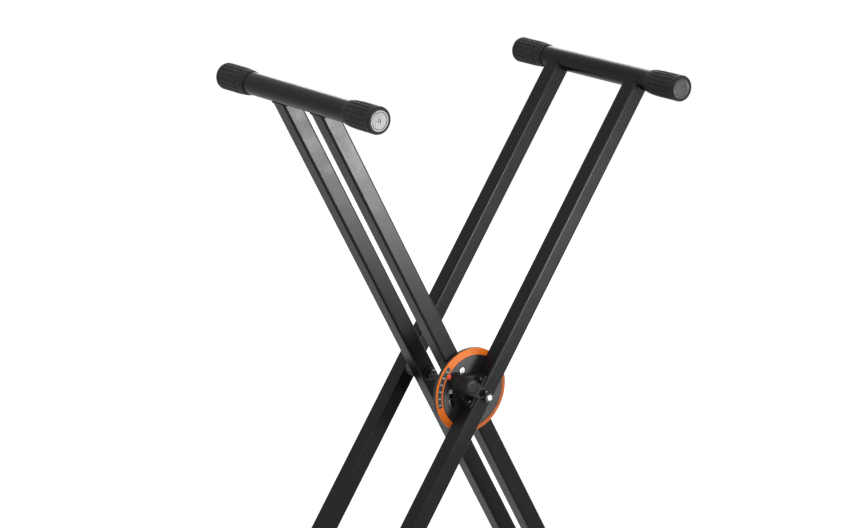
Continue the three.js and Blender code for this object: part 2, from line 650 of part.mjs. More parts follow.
/** The drum's cover, with the arc slot and the recesses for its screws. */
function drumCoverGeometry() {
  const start = trackPlace(SLOT_START);
  const end = trackPlace(SLOT_END);
  const slot = [
    ...arc(TRACK_RADIUS + SLOT_HALF, SLOT_START, SLOT_END, SLOT_STEPS),
    ...arc(SLOT_HALF, SLOT_END, SLOT_END + 180, END_STEPS, end.x, end.z).slice(1, -1),
    ...arc(TRACK_RADIUS - SLOT_HALF, SLOT_END, SLOT_START, SLOT_STEPS),
    ...arc(SLOT_HALF, SLOT_START + 180, SLOT_START + 360, END_STEPS, start.x, start.z).slice(1, -1),
  ];
  const face = plate(circle(COVER_RADIUS, DRUM_SIDES), COVER_BACK, DRUM_FACE);
  const slotCut = plate(slot, COVER_SEAT - CUT_OVER, DRUM_FACE + CUT_OVER);
  const pads = [];
  const cuts = [slotCut, drill(BOLT_BORE, 0, 0, SMALL_SIDES)];
  for (const { x, z } of Object.values(SCREW_PLACES)) {
    pads.push(plate(circle(COVER_BOSS, SMALL_SIDES, x, z), COVER_SEAT, COVER_BACK + OVERLAP));
    cuts.push(drill(COVER_SCREW_RADIUS + GAP, x, z, SMALL_SIDES));
    const recess = circle(COVER_HEAD_RADIUS + SLIP, SMALL_SIDES, x, z);
    cuts.push(plate(recess, DRUM_FACE - COVER_SINK, DRUM_FACE + CUT_OVER));
  }
  return shaped(face, pads, cuts);
}

/** The orange ring: a sloping face and an outer edge, with a shallow pocket for the scale. */
function scaleRingGeometry() {
  const wall = DRUM_RADIUS - RING_WALL;
  const bevel = DRUM_RADIUS - RING_CHAMFER;
  const profile = [
    [wall, RING_BACK],
    [DRUM_RADIUS, RING_BACK],
    [DRUM_RADIUS, ringFace(DRUM_RADIUS) - RING_CHAMFER],
    [bevel, ringFace(bevel)],
    [RING_INNER, DRUM_FACE],
    [RING_INNER, DRUM_FACE - RING_FACE],
    [wall, RING_BACK],
  ];
  const depth = LABEL_THICKNESS + GAP;
  const pocket = faceBand(LABEL_INNER, LABEL_OUTER, LABEL_START, LABEL_END, -depth, CUT_OVER);
  return shaped(turned(-1, profile, DRUM_SIDES), [], [pocket]);
}

/** The scale's label, smaller than its pocket by the gap on every side. */
function scaleLabelGeometry() {
  const trim = GAP / LABEL_INNER / DEGREE;
  const inner = LABEL_INNER + GAP;
  const outer = LABEL_OUTER - GAP;
  const label = faceBand(inner, outer, LABEL_START + trim, LABEL_END - trim, -LABEL_THICKNESS, 0);
  return geometryOf(solid(label));
}

/** A screw of the drum's cover, about the Y axis. */
function coverScrewGeometry() {
  const back = DRUM_FACE - COVER_SINK + GAP;
  const head = disc(-1, COVER_HEAD_RADIUS, back, back + COVER_HEAD_HEIGHT, SMALL_SIDES);
  const shank = disc(-1, COVER_SCREW_RADIUS, back - COVER_SCREW_LENGTH, back + OVERLAP, SMALL_SIDES);
  return shaped(head, [shank], []);
}

/** The drum with its ring, scale, screws and the curved rod inside it. */
function addDrum(frame) {
  add(frame, "drum_housing", drumHousingGeometry(), "drum_plastic");
  add(frame, "drum_cover", drumCoverGeometry(), "drum_plastic");
  add(frame, "scale_ring", scaleRingGeometry(), "orange_plastic");
  add(frame, "scale_label", scaleLabelGeometry(), "label_film");
  for (const [place, { x, z }] of Object.entries(SCREW_PLACES)) {
    add(frame, `${place}_cover_screw`, coverScrewGeometry(), "zinc_steel").position.set(x, 0, z);
  }
  const rod = tube(new TrackCurve(ROD_START, ROD_END), ROD_RADIUS, ROD_STEPS, ROD_SIDES);
  add(frame, "clutch_rod", rod, "zinc_steel");
}

// ---------------------------------------------------------------- clutch on the outer frame

/** The carrier in the drum: a windowed plate with a lug for the spring, a fulcrum and a hollow neck. */
function carrierGeometry() {
  const start = BARREL_ANGLE - CARRIER_LEAD;
  const end = BARREL_ANGLE + CARRIER_TAIL;
  const lug = BARREL_ANGLE + LUG_ANGLE;
  const lugHalf = trackAngle(LUG_THICKNESS / 2);
  const window = sector(WINDOW_INNER, WINDOW_OUTER, BARREL_ANGLE + WINDOW_START, lug - lugHalf, END_STEPS);
  const outline = sector(CARRIER_INNER, CARRIER_OUTER, start, end, SECTOR_STEPS);
  const face = plate(outline, CARRIER_BACK, CARRIER_FRONT, [window]);
  const overlap = CARRIER_BACK + CARRIER_THICKNESS / 2;
  const lugOutline = sector(CARRIER_INNER, CARRIER_OUTER, lug - lugHalf, lug + lugHalf, 1);
  const ledge = PLATE_FULCRUM + FULCRUM_LEDGE;
  const fulcrumEnd = -STACK_HALF - FULCRUM_GAP;
  const fulcrum = new THREE.BoxGeometry(ledge - CARRIER_INNER, overlap - PLATE_REAR, FULCRUM_THICKNESS);
  fulcrum.translate(
    (ledge + CARRIER_INNER) / 2,
    -(overlap + PLATE_REAR) / 2,
    fulcrumEnd - FULCRUM_THICKNESS / 2,
  );
  fulcrum.rotateY(-(BARREL_ANGLE + PLATE_ANGLE) * DEGREE);
  const neck = disc(-1, NECK_RADIUS, overlap, BARREL_INSIDE - GAP, SMALL_SIDES);
  neck.translate(-TRACK_RADIUS, 0, 0);
  const rodPath = new TrackCurve(lug - ROD_SLOT_SPAN, lug + ROD_SLOT_SPAN);
  const rodSlot = tube(rodPath, ROD_RADIUS + ROD_SLOT_CLEARANCE, ROD_SLOT_SPAN, SMALL_SIDES);
  const bore = drill(SHAFT_RADIUS + GAP, -TRACK_RADIUS, 0, SMALL_SIDES);
  return shaped(face, [plate(lugOutline, PLATE_REAR, overlap), fulcrum, neck], [bore, rodSlot]);
}

/** One thin plate with a bore for the rod, in axes that point out and along the track. */
function clutchPlateGeometry() {
  const blank = new THREE.BoxGeometry(PLATE_WIDTH, CARRIER_FRONT - PLATE_REAR, PLATE_THICKNESS);
  blank.translate(PLATE_WIDTH / 2, -(CARRIER_FRONT + PLATE_REAR) / 2, 0);
  const bore = new THREE.CylinderGeometry(PLATE_BORE, PLATE_BORE, 4 * PLATE_THICKNESS, SMALL_SIDES);
  bore.rotateX(Math.PI / 2);
  bore.translate(TRACK_RADIUS - PLATE_FULCRUM, -ROD_Y, 0);
  return shaped(blank, [], [bore]);
}

/** A coil round the curved rod, from one angle of the track to another. */
class TrackCoil extends THREE.Curve {
  constructor(radius, turns, from, to) {
    super();
    Object.assign(this, { radius, turns, from, to });
  }

  getPoint(share, target = new THREE.Vector3()) {
    const angle = (this.from + (this.to - this.from) * share) * DEGREE;
    const turn = share * this.turns * 2 * Math.PI;
    const reach = TRACK_RADIUS + this.radius * Math.cos(turn);
    const depth = ROD_Y + this.radius * Math.sin(turn);
    return target.set(reach * Math.cos(angle), -depth, reach * Math.sin(angle));
  }
}

/** The carrier, the clutch plates and the spring that tilts them. */
function addClutch(frame) {
  add(frame, "clutch_carrier", carrierGeometry(), "dark_steel");
  const stack = roundPivot(frame, PLATE_FULCRUM, BARREL_ANGLE + PLATE_ANGLE);
  const tilted = new THREE.Group();
  tilted.rotation.y = PLATE_TILT * DEGREE;
  stack.add(tilted);
  for (let i = 0; i < PLATE_COUNT; i += 1) {
    const offset = (i - (PLATE_COUNT - 1) / 2) * PLATE_PITCH;
    add(tilted, `clutch_plate_${i + 1}`, clutchPlateGeometry(), "zinc_steel").position.z = offset;
  }
  const wireGap = GAP + CLUTCH_WIRE_RADIUS;
  const radius = ROD_RADIUS + wireGap;
  const start = BARREL_ANGLE + PLATE_ANGLE + trackAngle(STACK_HALF + wireGap);
  const end = BARREL_ANGLE + LUG_ANGLE - trackAngle(LUG_THICKNESS / 2 + wireGap);
  const coil = new TrackCoil(radius, CLUTCH_SPRING_TURNS, start, end);
  const spring = tube(coil, CLUTCH_WIRE_RADIUS, CLUTCH_SPRING_TURNS * CURL_STEPS, WIRE_SIDES);
  add(frame, "clutch_spring", spring, "dark_steel");
}

// ---------------------------------------------------------------- lock housing and trigger

/** The housing: collar, barrel, web and the saddle that is screwed to the arm's side. */
function housingGeometry() {
  const onTrack = (geometry) => geometry.translate(-TRACK_RADIUS, 0, 0);
  const collar = onTrack(disc(-1, COLLAR_RADIUS, COLLAR_BACK, COLLAR_FRONT, ROUND_SIDES));
  const barrel = onTrack(disc(-1, BARREL_RADIUS, COLLAR_BACK + OVERLAP, HOUSING_FRONT, ROUND_SIDES));
  const webEdge = OVERLAP - SADDLE_OUTSIDE;
  const webCorner = SADDLE_LENGTH / 2 - WEB_INSET;
  const webOutline = [
    new THREE.Vector2(webEdge, webCorner),
    ...arc(BARREL_RADIUS, WEB_WRAP, 360 - WEB_WRAP, ROUND_SIDES / 2, -TRACK_RADIUS),
    new THREE.Vector2(webEdge, -webCorner),
  ];
  const web = plate(webOutline, WEB_BACK, WEB_FRONT);
  const saddle = new THREE.BoxGeometry(SADDLE_THICKNESS, ARM_SIZE - 2 * SADDLE_INSET, SADDLE_LENGTH);
  saddle.translate(-(SADDLE_INSIDE + SADDLE_OUTSIDE) / 2, -OUTER_ARM_Y, 0);
  const spring = onTrack(disc(-1, BARREL_BORE, BARREL_INSIDE, HOUSING_FRONT + CUT_OVER, ROUND_SIDES));
  const neckBore = drill(NECK_RADIUS + GAP, -TRACK_RADIUS, 0, SMALL_SIDES);
  const notch = new THREE.BoxGeometry(BARREL_RADIUS, 2 * COLLAR_DEPTH, POINTER_WIDTH + 2 * GAP);
  notch.translate(GAP - POINTER_BASE - BARREL_RADIUS / 2, -COLLAR_BACK, 0);
  const screws = [-1, 1].map((end) => {
    const radius = HOUSING_SCREW_RADIUS + GAP;
    const bore = new THREE.CylinderGeometry(radius, radius, ARM_SIZE, SMALL_SIDES);
    bore.rotateZ(Math.PI / 2);
    return bore.translate(-SADDLE_INSIDE, -HOUSING_SCREW_Y, end * HOUSING_SCREW_OFFSET);
  });
  return shaped(saddle, [web, barrel, collar], [spring, neckBore, notch, ...screws]);
}

/** A pan head screw through the saddle into the arm's wall. */
function housingScrewGeometry() {
  const head = disc(1, HOUSING_HEAD_RADIUS, GAP, GAP + HOUSING_HEAD_HEIGHT, SMALL_SIDES);
  const shank = disc(1, HOUSING_SCREW_RADIUS, -HOUSING_SCREW_LENGTH, GAP + OVERLAP, SMALL_SIDES);
  return shaped(head, [shank], []).rotateZ(Math.PI / 2);
}

/** The trigger: a hub in line with the barrel and a wing with a finger hole. */
function leverGeometry() {
  const onTrack = (geometry) => geometry.translate(-TRACK_RADIUS, 0, 0);
  const hub = onTrack(disc(-1, BARREL_RADIUS, LEVER_BACK, LEVER_FACE, ROUND_SIDES));
  const outline = taper(
    -TRACK_RADIUS,
    BARREL_RADIUS,
    -FINGER_HOLE_REACH,
    WING_TIP_RADIUS,
    ROUND_SIDES / 2,
  );
  const wing = plate(outline, WING_BACK, WING_FRONT);
  const fingerHole = drill(FINGER_HOLE_RADIUS, -FINGER_HOLE_REACH, 0, ROUND_SIDES);
  const pocket = onTrack(disc(-1, BARREL_BORE, LEVER_BACK - CUT_OVER, POCKET_END, ROUND_SIDES));
  const bore = onTrack(disc(-1, SHAFT_RADIUS + GAP, LEVER_BACK, SHAFT_END + GAP, SMALL_SIDES));
  return shaped(hub, [wing], [fingerHole, pocket, bore]);
}

/** The centre of the cam's tip beside the first clutch plate, from the barrel's axis. */
function camTip() {
  const upright = new THREE.Vector3(0, 1, 0);
  const tip = new THREE.Vector3(CAM_CONTACT, 0, -STACK_HALF - SLIP - CAM_TIP_RADIUS);
  tip.applyAxisAngle(upright, PLATE_TILT * DEGREE);
  tip.x += PLATE_FULCRUM;
  tip.applyAxisAngle(upright, -(BARREL_ANGLE + PLATE_ANGLE) * DEGREE);
  tip.x += TRACK_RADIUS;
  return tip;
}

/** The cam on the trigger's inner end: a hub with a finger that pushes the clutch plates square. */
function camGeometry() {
  const hub = plate(circle(NECK_RADIUS, SMALL_SIDES), CAM_BACK, CAM_FRONT);
  const tip = camTip();
  const outline = taper(0, CAM_ROOT_RADIUS, tip.length(), CAM_TIP_RADIUS, END_STEPS);
  const finger = plate(outline, CAM_BACK, CAM_FRONT);
  finger.rotateY(Math.atan2(-tip.z, tip.x));
  const bore = drill(SHAFT_RADIUS + GAP, 0, 0, SMALL_SIDES);
  return shaped(hub, [finger], [bore]);
}

/** The torsion spring's helix about the trigger's shaft. */
class HelixCurve extends THREE.Curve {
  constructor(radius, turns, back, front) {
    super();
    Object.assign(this, { radius, turns, back, front });
  }

  getPoint(share, target = new THREE.Vector3()) {
    const turn = share * this.turns * 2 * Math.PI;
    const depth = this.back + (this.front - this.back) * share;
    return target.set(this.radius * Math.cos(turn), -depth, this.radius * Math.sin(turn));
  }
}

/** Outline of the red pointer: square at the barrel, tapered to its tip. */
function pointerOutline() {
  const half = POINTER_WIDTH / 2;
  const tip = POINTER_TIP_WIDTH / 2;
  return [
    new THREE.Vector2(-POINTER_BASE, half),
    new THREE.Vector2(-POINTER_BASE - POINTER_SHOULDER, half),
    new THREE.Vector2(-POINTER_TIP, tip),
    new THREE.Vector2(-POINTER_TIP, -tip),
    new THREE.Vector2(-POINTER_BASE - POINTER_SHOULDER, -half),
    new THREE.Vector2(-POINTER_BASE, -half),
  ];
}

/** The housing, the trigger with its shaft, cam and spring, and the pointer. */
function addLock(frame) {
  add(frame, "lock_housing", housingGeometry(), "lever_plastic");
  for (const [place, end] of [["upper", 1], ["lower", -1]]) {
    const screw = add(frame, `${place}_housing_screw`, housingScrewGeometry(), "dark_steel");
    screw.position.set(-SADDLE_OUTSIDE, -HOUSING_SCREW_Y, end * HOUSING_SCREW_OFFSET);
  }
  add(frame, "trigger_lever", leverGeometry(), "lever_plastic");
  const axis = new THREE.Group();
  axis.position.x = -TRACK_RADIUS;
  frame.add(axis);
  add(axis, "trigger_shaft", disc(-1, SHAFT_RADIUS, CAM_BACK, SHAFT_END, SMALL_SIDES), "zinc_steel");
  add(axis, "release_cam", camGeometry(), "zinc_steel");
  const inset = GAP + TRIGGER_WIRE_RADIUS;
  const radius = BARREL_BORE - TRIGGER_SPRING_CLEARANCE - TRIGGER_WIRE_RADIUS;
  const helix = new HelixCurve(radius, TRIGGER_SPRING_TURNS, BARREL_INSIDE + inset, POCKET_END - inset);
  const spring = tube(helix, TRIGGER_WIRE_RADIUS, TRIGGER_SPRING_TURNS * CURL_STEPS, WIRE_SIDES);
  add(axis, "trigger_spring", spring, "dark_steel");
  add(frame, "angle_pointer", plate(pointerOutline(), COLLAR_BACK, COLLAR_FRONT - GAP), "pointer_red");
}

// ---------------------------------------------------------------- the stand

/** Cutters for the cover screws in the front wall of an inner arm, in the arm's own axes. */
function coverScrewCuts() {
  const radius = COVER_SCREW_RADIUS + GAP;
  return Object.values(SCREW_PLACES).map(({ x, z }) => {
    const bore = new THREE.CylinderGeometry(radius, radius, ARM_SIZE, SMALL_SIDES);
    return bore.translate(x, -ARM_SIZE / 2 - ARM_WALL, z);
  });
}

/** Cutters for the housing screws in the side wall of an outer arm, in the arm's own axes. */
function housingScrewCuts() {
  const radius = HOUSING_SCREW_RADIUS + GAP;
  const y = OUTER_ARM_Y - HOUSING_SCREW_Y;
  return [1, -1].map((end) => {
    const bore = new THREE.CylinderGeometry(radius, radius, ARM_SIZE, SMALL_SIDES);
    bore.rotateZ(Math.PI / 2);
    return bore.translate(-ARM_SIZE / 2 - ARM_WALL, y, end * HOUSING_SCREW_OFFSET);
  });
}

const innerFrame = buildFrame("inner", -HALF_ANGLE, INNER_ARM_Y, coverScrewCuts());
addDrum(innerFrame);

const outerFrame = buildFrame("outer", HALF_ANGLE, OUTER_ARM_Y, housingScrewCuts());
addPivots(outerFrame);
addClutch(outerFrame);
addLock(outerFrame);

const stand = new THREE.Group();
stand.add(innerFrame, outerFrame);

export default stand;
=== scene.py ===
"""A folding keyboard stand: its visible pieces, their finishes, the light and the camera.

Sizes are millimetres in a frame's own axes, and MM turns them into metres: X runs across the
arms, Z along them and Y along the bars. A depth is a distance from the mid-plane, towards the
front or the rear. Angles are degrees round the pivot, from +X towards +Z.
"""

import itertools
import logging
import math
from collections.abc import Callable, Sequence
from dataclasses import dataclass
from enum import Enum
from typing import Any

import bmesh
import bpy
import numpy as np
from mathutils import Matrix, Quaternion, Vector
from mathutils.geometry import tessellate_polygon


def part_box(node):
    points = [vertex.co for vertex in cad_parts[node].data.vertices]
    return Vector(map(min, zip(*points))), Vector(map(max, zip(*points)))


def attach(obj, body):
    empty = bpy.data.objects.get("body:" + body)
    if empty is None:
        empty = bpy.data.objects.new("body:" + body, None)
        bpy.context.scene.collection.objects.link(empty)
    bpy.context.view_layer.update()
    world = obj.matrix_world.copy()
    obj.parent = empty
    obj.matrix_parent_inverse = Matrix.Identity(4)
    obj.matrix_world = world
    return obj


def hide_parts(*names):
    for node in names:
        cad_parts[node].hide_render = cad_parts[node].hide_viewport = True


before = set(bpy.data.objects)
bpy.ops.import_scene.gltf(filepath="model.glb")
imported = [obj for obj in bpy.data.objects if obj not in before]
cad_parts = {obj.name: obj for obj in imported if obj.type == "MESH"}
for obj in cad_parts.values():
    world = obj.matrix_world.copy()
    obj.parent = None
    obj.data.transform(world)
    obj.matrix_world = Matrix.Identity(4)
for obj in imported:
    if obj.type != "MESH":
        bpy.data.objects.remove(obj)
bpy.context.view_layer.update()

LOG = logging.getLogger("stand")

MM = 0.001
HALF_ANGLE = 31.5  # between an arm and the vertical
PIVOT = sum(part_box("front_pivot_washer"), Vector()) / 2
GAP = 0.3  # between pieces that fit together
MERGE = 2e-6  # metres between points that are one
TRACK_RADIUS = 37.3  # centre line of the rod, the slot and the barrel
BARREL_ANGLE = 180.0  # the barrel's place on the outer frame
BARREL_TRACK = BARREL_ANGLE - 2 * HALF_ANGLE  # and seen from the inner frame

Point = tuple[float, float]
Loop = list[Point]
Colour = tuple[float, float, float]
Field = np.ndarray


class Body(Enum):
    """The stand's moving bodies."""

    OUTER = "outer_frame"
    INNER = "inner_frame"
    TRIGGER = "trigger"
    PLATES = "clutch_plates"


class Side(Enum):
    """The stand's two sides, each with the sign of its Y."""

    FRONT = -1
    REAR = 1

    @property
    def word(self) -> str:
        """The side's name in the CAD nodes."""
        return self.name.lower()


class Texture(Enum):
    """The fine structure of a surface."""

    POWDER = "powder coat"
    RUBBER = "matt rubber"
    MOULDED = "moulded plastic"
    FILM = "printed film"
    PLATED = "plated metal"


# ---------------------------------------------------------------- finishes


class Graph:
    """A material's or a world's nodes, added and linked by short calls."""

    def __init__(self, tree: bpy.types.NodeTree) -> None:
        """Empties the tree.

        Args:
            tree: The node tree to fill.
        """
        self.tree = tree
        tree.nodes.clear()

    def add(self, kind: str, inputs: dict[Any, Any] | None = None, **settings: Any) -> Any:
        """Adds a node.

        Args:
            kind: The node's type, without its ShaderNode prefix.
            inputs: Values or sockets for its inputs, by name or number.
            **settings: The node's own properties.

        Returns:
            The new node.
        """
        node = self.tree.nodes.new("ShaderNode" + kind)
        for name, value in settings.items():
            setattr(node, name, value)
        for name, value in (inputs or {}).items():
            if isinstance(value, bpy.types.NodeSocket):
                self.tree.links.new(value, node.inputs[name])
            else:
                node.inputs[name].default_value = value
        return node

    def noise(self, coords: Any, scale: float, detail: float = 3.0, rough: float = 0.5) -> Any:
        """Adds a noise texture, its scale per metre, and gives the socket with its value."""
        inputs = {"Vector": coords, "Scale": scale, "Detail": detail, "Roughness": rough}
        return self.add("TexNoise", inputs).outputs["Fac"]

    def ranged(self, value: Any, low: float, high: float, to_low: float, to_high: float) -> Any:
        """Maps a socket's value from one range to another, and gives the new socket."""
        inputs = {0: value, 1: low, 2: high, 3: to_low, 4: to_high}
        return self.add("MapRange", inputs).outputs[0]

    def mixed(self, share: Any, first: Any, second: Any) -> Any:
        """Mixes two colours or sockets by the second one's share, and gives the new socket."""
        node = self.add("Mix", {0: share, 6: first, 7: second}, data_type="RGBA")
        return node.outputs[2]

    def bump(self, height: Any, distance: float, strength: float, below: Any = None) -> Any:
        """Adds a bump.

        Args:
            height: The socket with its height.
            distance: How high a height of one is, in metres.
            strength: The bump's strength.
            below: The socket with the normal under it.

        Returns:
            The socket with the bumped normal.
        """
        inputs = {"Height": height, "Distance": distance, "Strength": strength}
        if below is not None:
            inputs["Normal"] = below
        return self.add("Bump", inputs).outputs[0]

    def backdrop_rays(self) -> Any:
        """Finds the rays that show the backdrop as it is.

        Returns:
            A socket that is 1 for camera, glossy and transmission rays.
        """
        path = self.add("LightPath").outputs
        camera_or_glossy = self.add(
            "Math", {0: path["Is Camera Ray"], 1: path["Is Glossy Ray"]}, operation="MAXIMUM"
        )
        inputs = {0: camera_or_glossy.outputs[0], 1: path["Is Transmission Ray"]}
        return self.add("Math", inputs, operation="MAXIMUM").outputs[0]


@dataclass(frozen=True)
class Finish:
    """How a material looks.

    Attributes:
        slot: Its material slot.
        texture: Its fine structure.
        colour: Its main colour, linear.
        second: The colour that it is mottled with.
        roughness: Its mean roughness.
        uneven: How far the roughness strays from the mean.
        specular: Its specular level.
        metallic: 1 for bare metal.
        mottle: Scale of the mottling, per metre.
        grain: Scale of the grain, per metre.
        relief: Height of the grain, in metres.
        name: The material's name, where it isn't the slot's.
    """

    slot: str
    texture: Texture
    colour: Colour
    second: Colour
    roughness: float
    uneven: float
    specular: float = 0.5
    metallic: float = 0.0
    mottle: float = 14.0
    grain: float = 1200.0
    relief: float = 0.00004
    name: str = ""

    def material(self) -> bpy.types.Material:
        """Makes the material, or finds it if it is made already.

        Returns:
            The material.
        """
        name = self.name or self.slot
        made = bpy.data.materials.get(name + "_finish")
        if made is not None:
            return made
        made = bpy.data.materials.new(name + "_finish")
        made.use_nodes = True
        graph = Graph(made.node_tree)
        coords = graph.add("TexCoord").outputs["Object"]
        patches = graph.noise(coords, self.mottle, 5.0, 0.6)
        share = graph.ranged(patches, 0.35, 0.65, 0.0, 1.0)
        colour = graph.mixed(share, (*self.colour, 1.0), (*self.second, 1.0))
        colour, height = self.structure(graph, coords, colour)
        smears = graph.noise(coords, self.mottle * 5, 4.0, 0.55)
        low = self.roughness - self.uneven
        roughness = graph.ranged(smears, 0.3, 0.7, low, self.roughness + self.uneven)
        waves = graph.noise(coords, self.grain / 9, 2.0)
        normal = graph.bump(waves, self.relief * 3, 0.35)
        normal = graph.bump(height, self.relief, 1.0, normal)
        shader = graph.add(
            "BsdfPrincipled",
            {
                "Base Color": colour,
                "Roughness": roughness,
                "Metallic": self.metallic,
                "Specular IOR Level": self.specular,
                "Normal": normal,
            },
        )
        graph.add("OutputMaterial", {"Surface": shader.outputs[0]})
        return made

    def structure(self, graph: Graph, coords: Any, colour: Any) -> tuple[Any, Any]:
        """Adds the fine structure.

        Args:
            graph: The material's nodes.
            coords: The socket with the coordinates.
            colour: The socket with the mottled colour.

        Returns:
            The sockets with the colour and the grain's height.
        """
        fine = graph.noise(coords, self.grain, 4.0, 0.6)
        if self.texture is Texture.POWDER:
            beads = graph.add("TexVoronoi", {"Vector": coords, "Scale": self.grain * 0.8})
            droplets = graph.ranged(beads.outputs["Distance"], 0.0, 0.6, 1.0, 0.0)
            height = graph.mixed(0.5, fine, droplets)
            dust = graph.ranged(graph.noise(coords, self.grain * 2.4, 2.0), 0.62, 0.78, 0.0, 0.5)
            lighter = tuple(min(1.0, part * 2.2 + 0.004) for part in self.colour)
            return graph.mixed(dust, colour, (*lighter, 1.0)), height
        if self.texture is Texture.RUBBER:
            bloom = graph.ranged(graph.noise(coords, 160.0, 5.0, 0.65), 0.45, 0.75, 0.0, 0.6)
            pale = tuple(part * 1.8 + 0.004 for part in self.second)
            return graph.mixed(bloom, colour, (*pale, 1.0)), fine
        if self.texture is Texture.MOULDED:
            pits = graph.add("TexVoronoi", {"Vector": coords, "Scale": self.grain * 0.7})
            return colour, graph.mixed(0.4, fine, pits.outputs["Distance"])
        if self.texture is Texture.FILM:
            stretch = graph.add("Mapping", {"Vector": coords, "Scale": (1.0, 1.0, 14.0)})
            return colour, graph.noise(stretch.outputs[0], self.grain, 2.0)
        stretch = graph.add("Mapping", {"Vector": coords, "Scale": (1.0, 9.0, 1.0)})
        lines = graph.noise(stretch.outputs[0], self.grain, 3.0)
        grime = graph.ranged(graph.noise(coords, 420.0, 5.0, 0.7), 0.56, 0.8, 0.0, 0.7)
        darker = tuple(part * 0.35 for part in self.colour)
        return graph.mixed(grime, colour, (*darker, 1.0)), lines


PAINT = Finish(
    "frame_paint", Texture.POWDER, (0.0038, 0.0037, 0.0046), (0.0054, 0.0051, 0.006), 0.34, 0.03,
    specular=0.12, mottle=9.0, grain=950.0, relief=0.00003,
)
RUBBER = Finish(
    "rubber", Texture.RUBBER, (0.0062, 0.0059, 0.0074), (0.009, 0.0084, 0.0105), 0.6, 0.06,
    specular=0.17, mottle=30.0, grain=1700.0, relief=0.00004,
)
PLUG = Finish(
    "plug_plastic", Texture.MOULDED, (0.029, 0.028, 0.031), (0.041, 0.04, 0.043), 0.38, 0.04,
    specular=0.24, mottle=110.0, grain=500.0, relief=0.00001,
)
DRUM = Finish(
    "drum_plastic", Texture.MOULDED, (0.0125, 0.0125, 0.015), (0.017, 0.0165, 0.0195), 0.47, 0.06,
    specular=0.3, mottle=26.0, grain=2300.0, relief=0.00003,
)
ORANGE = Finish(
    "orange_plastic", Texture.MOULDED, (0.78, 0.178, 0.014), (0.71, 0.147, 0.011), 0.5, 0.04,
    specular=0.16, mottle=24.0, grain=2100.0, relief=0.00002,
)
LABEL = Finish(
    "label_film", Texture.FILM, (0.0085, 0.0085, 0.01), (0.013, 0.013, 0.0145), 0.34, 0.05,
    specular=0.35, mottle=60.0, grain=900.0, relief=0.000015,
)
PRINT = Finish(
    "label_film", Texture.FILM, (0.72, 0.72, 0.7), (0.6, 0.6, 0.585), 0.5, 0.05,
    mottle=300.0, grain=900.0, relief=0.00001, name="print_white",
)
RED = Finish(
    "pointer_red", Texture.MOULDED, (0.8, 0.068, 0.034), (0.7, 0.05, 0.025), 0.36, 0.05,
    specular=0.45, mottle=90.0, grain=1900.0, relief=0.00002,
)
LEVER = Finish(
    "lever_plastic", Texture.MOULDED, (0.005, 0.0043, 0.0046), (0.007, 0.006, 0.0064), 0.52, 0.05,
    specular=0.115, mottle=40.0, grain=1500.0, relief=0.00004,
)
ZINC = Finish(
    "zinc_steel", Texture.PLATED, (0.5, 0.5, 0.49), (0.4, 0.4, 0.4), 0.4, 0.08,
    metallic=0.85, mottle=260.0, grain=700.0, relief=0.00003,
)
# Zinc with painted light for the clutch plates: a much lighter, less metallic copy of ZINC, so that
# the plates look lit in the shade of the drum's slot.
PAINTED_LIGHT_ZINC = Finish(
    "zinc_steel", Texture.PLATED, (0.93, 0.93, 0.91), (0.82, 0.82, 0.8), 0.34, 0.06,
    metallic=0.5, mottle=260.0, grain=700.0, relief=0.00002, name="bright_steel",
)
DARK = Finish(
    "dark_steel", Texture.PLATED, (0.052, 0.05, 0.054), (0.034, 0.033, 0.037), 0.36, 0.07,
    metallic=1.0, mottle=220.0, grain=800.0, relief=0.00003,
)
NYLON = Finish(
    "nylon", Texture.MOULDED, (0.035, 0.035, 0.036), (0.048, 0.048, 0.049), 0.55, 0.05,
    specular=0.4, mottle=50.0, grain=1300.0, relief=0.00003,
)


# ---------------------------------------------------------------- making meshes


class Surface:
    """Points and faces of a piece in the making, in millimetres."""

    def __init__(self) -> None:
        """Starts with nothing."""
        self.points: list[Vector] = []
        self.faces: list[Sequence[int]] = []

    def loft(
        self, rings: Sequence[Sequence[Any]], wrap: bool = False, caps: bool = True
    ) -> "Surface":
        """Skins a run of closed rings that have as many points each.

        Args:
            rings: The rings, each a run of points.
            wrap: Whether the last ring joins the first.
            caps: Whether the first and last rings are closed with a face.

        Returns:
            This surface.
        """
        start, size, count = len(self.points), len(rings[0]), len(rings)
        self.points.extend(Vector(point) for point in itertools.chain(*rings))
        for i in range(count if wrap else count - 1):
            low, high = start + i * size, start + (i + 1) % count * size
            for j in range(size):
                k = (j + 1) % size
                self.faces.append((low + j, low + k, high + k, high + j))
        if caps and not wrap:
            self.faces.append(tuple(range(start + size - 1, start - 1, -1)))
            self.faces.append(tuple(range(len(self.points) - size, len(self.points))))
        return self

    def moved(self, matrix: Matrix) -> "Surface":
        """Moves every point by a matrix, and gives this surface."""
        self.points = [matrix @ point for point in self.points]
        return self

    def joined(self, *others: "Surface") -> "Surface":
        """Adds other surfaces to this one.

        Args:
            *others: The surfaces to add.

        Returns:
            This surface.
        """
        for other in others:
            start = len(self.points)
            self.points.extend(other.points)
            self.faces.extend([start + i for i in face] for face in other.faces)
        return self

    def shape(self, name: str, axes: Matrix) -> bpy.types.Object:
        """Makes an object of it, with its faces pointing out.

        Args:
            name: The object's name.
            axes: The matrix from these millimetres to the stand's metres.

        Returns:
            The object.
        """
        mesh = bpy.data.meshes.new(name)
        mesh.from_pydata([axes @ point for point in self.points], [], self.faces)
        work = bmesh.new()
        work.from_mesh(mesh)
        bmesh.ops.remove_doubles(work, verts=work.verts, dist=MERGE)
        bmesh.ops.dissolve_degenerate(work, edges=work.edges, dist=MERGE)
        bmesh.ops.recalc_face_normals(work, faces=work.faces)
        work.to_mesh(mesh)
        work.free()
        made = bpy.data.objects.new(name, mesh)
        bpy.context.scene.collection.objects.link(made)
        return made


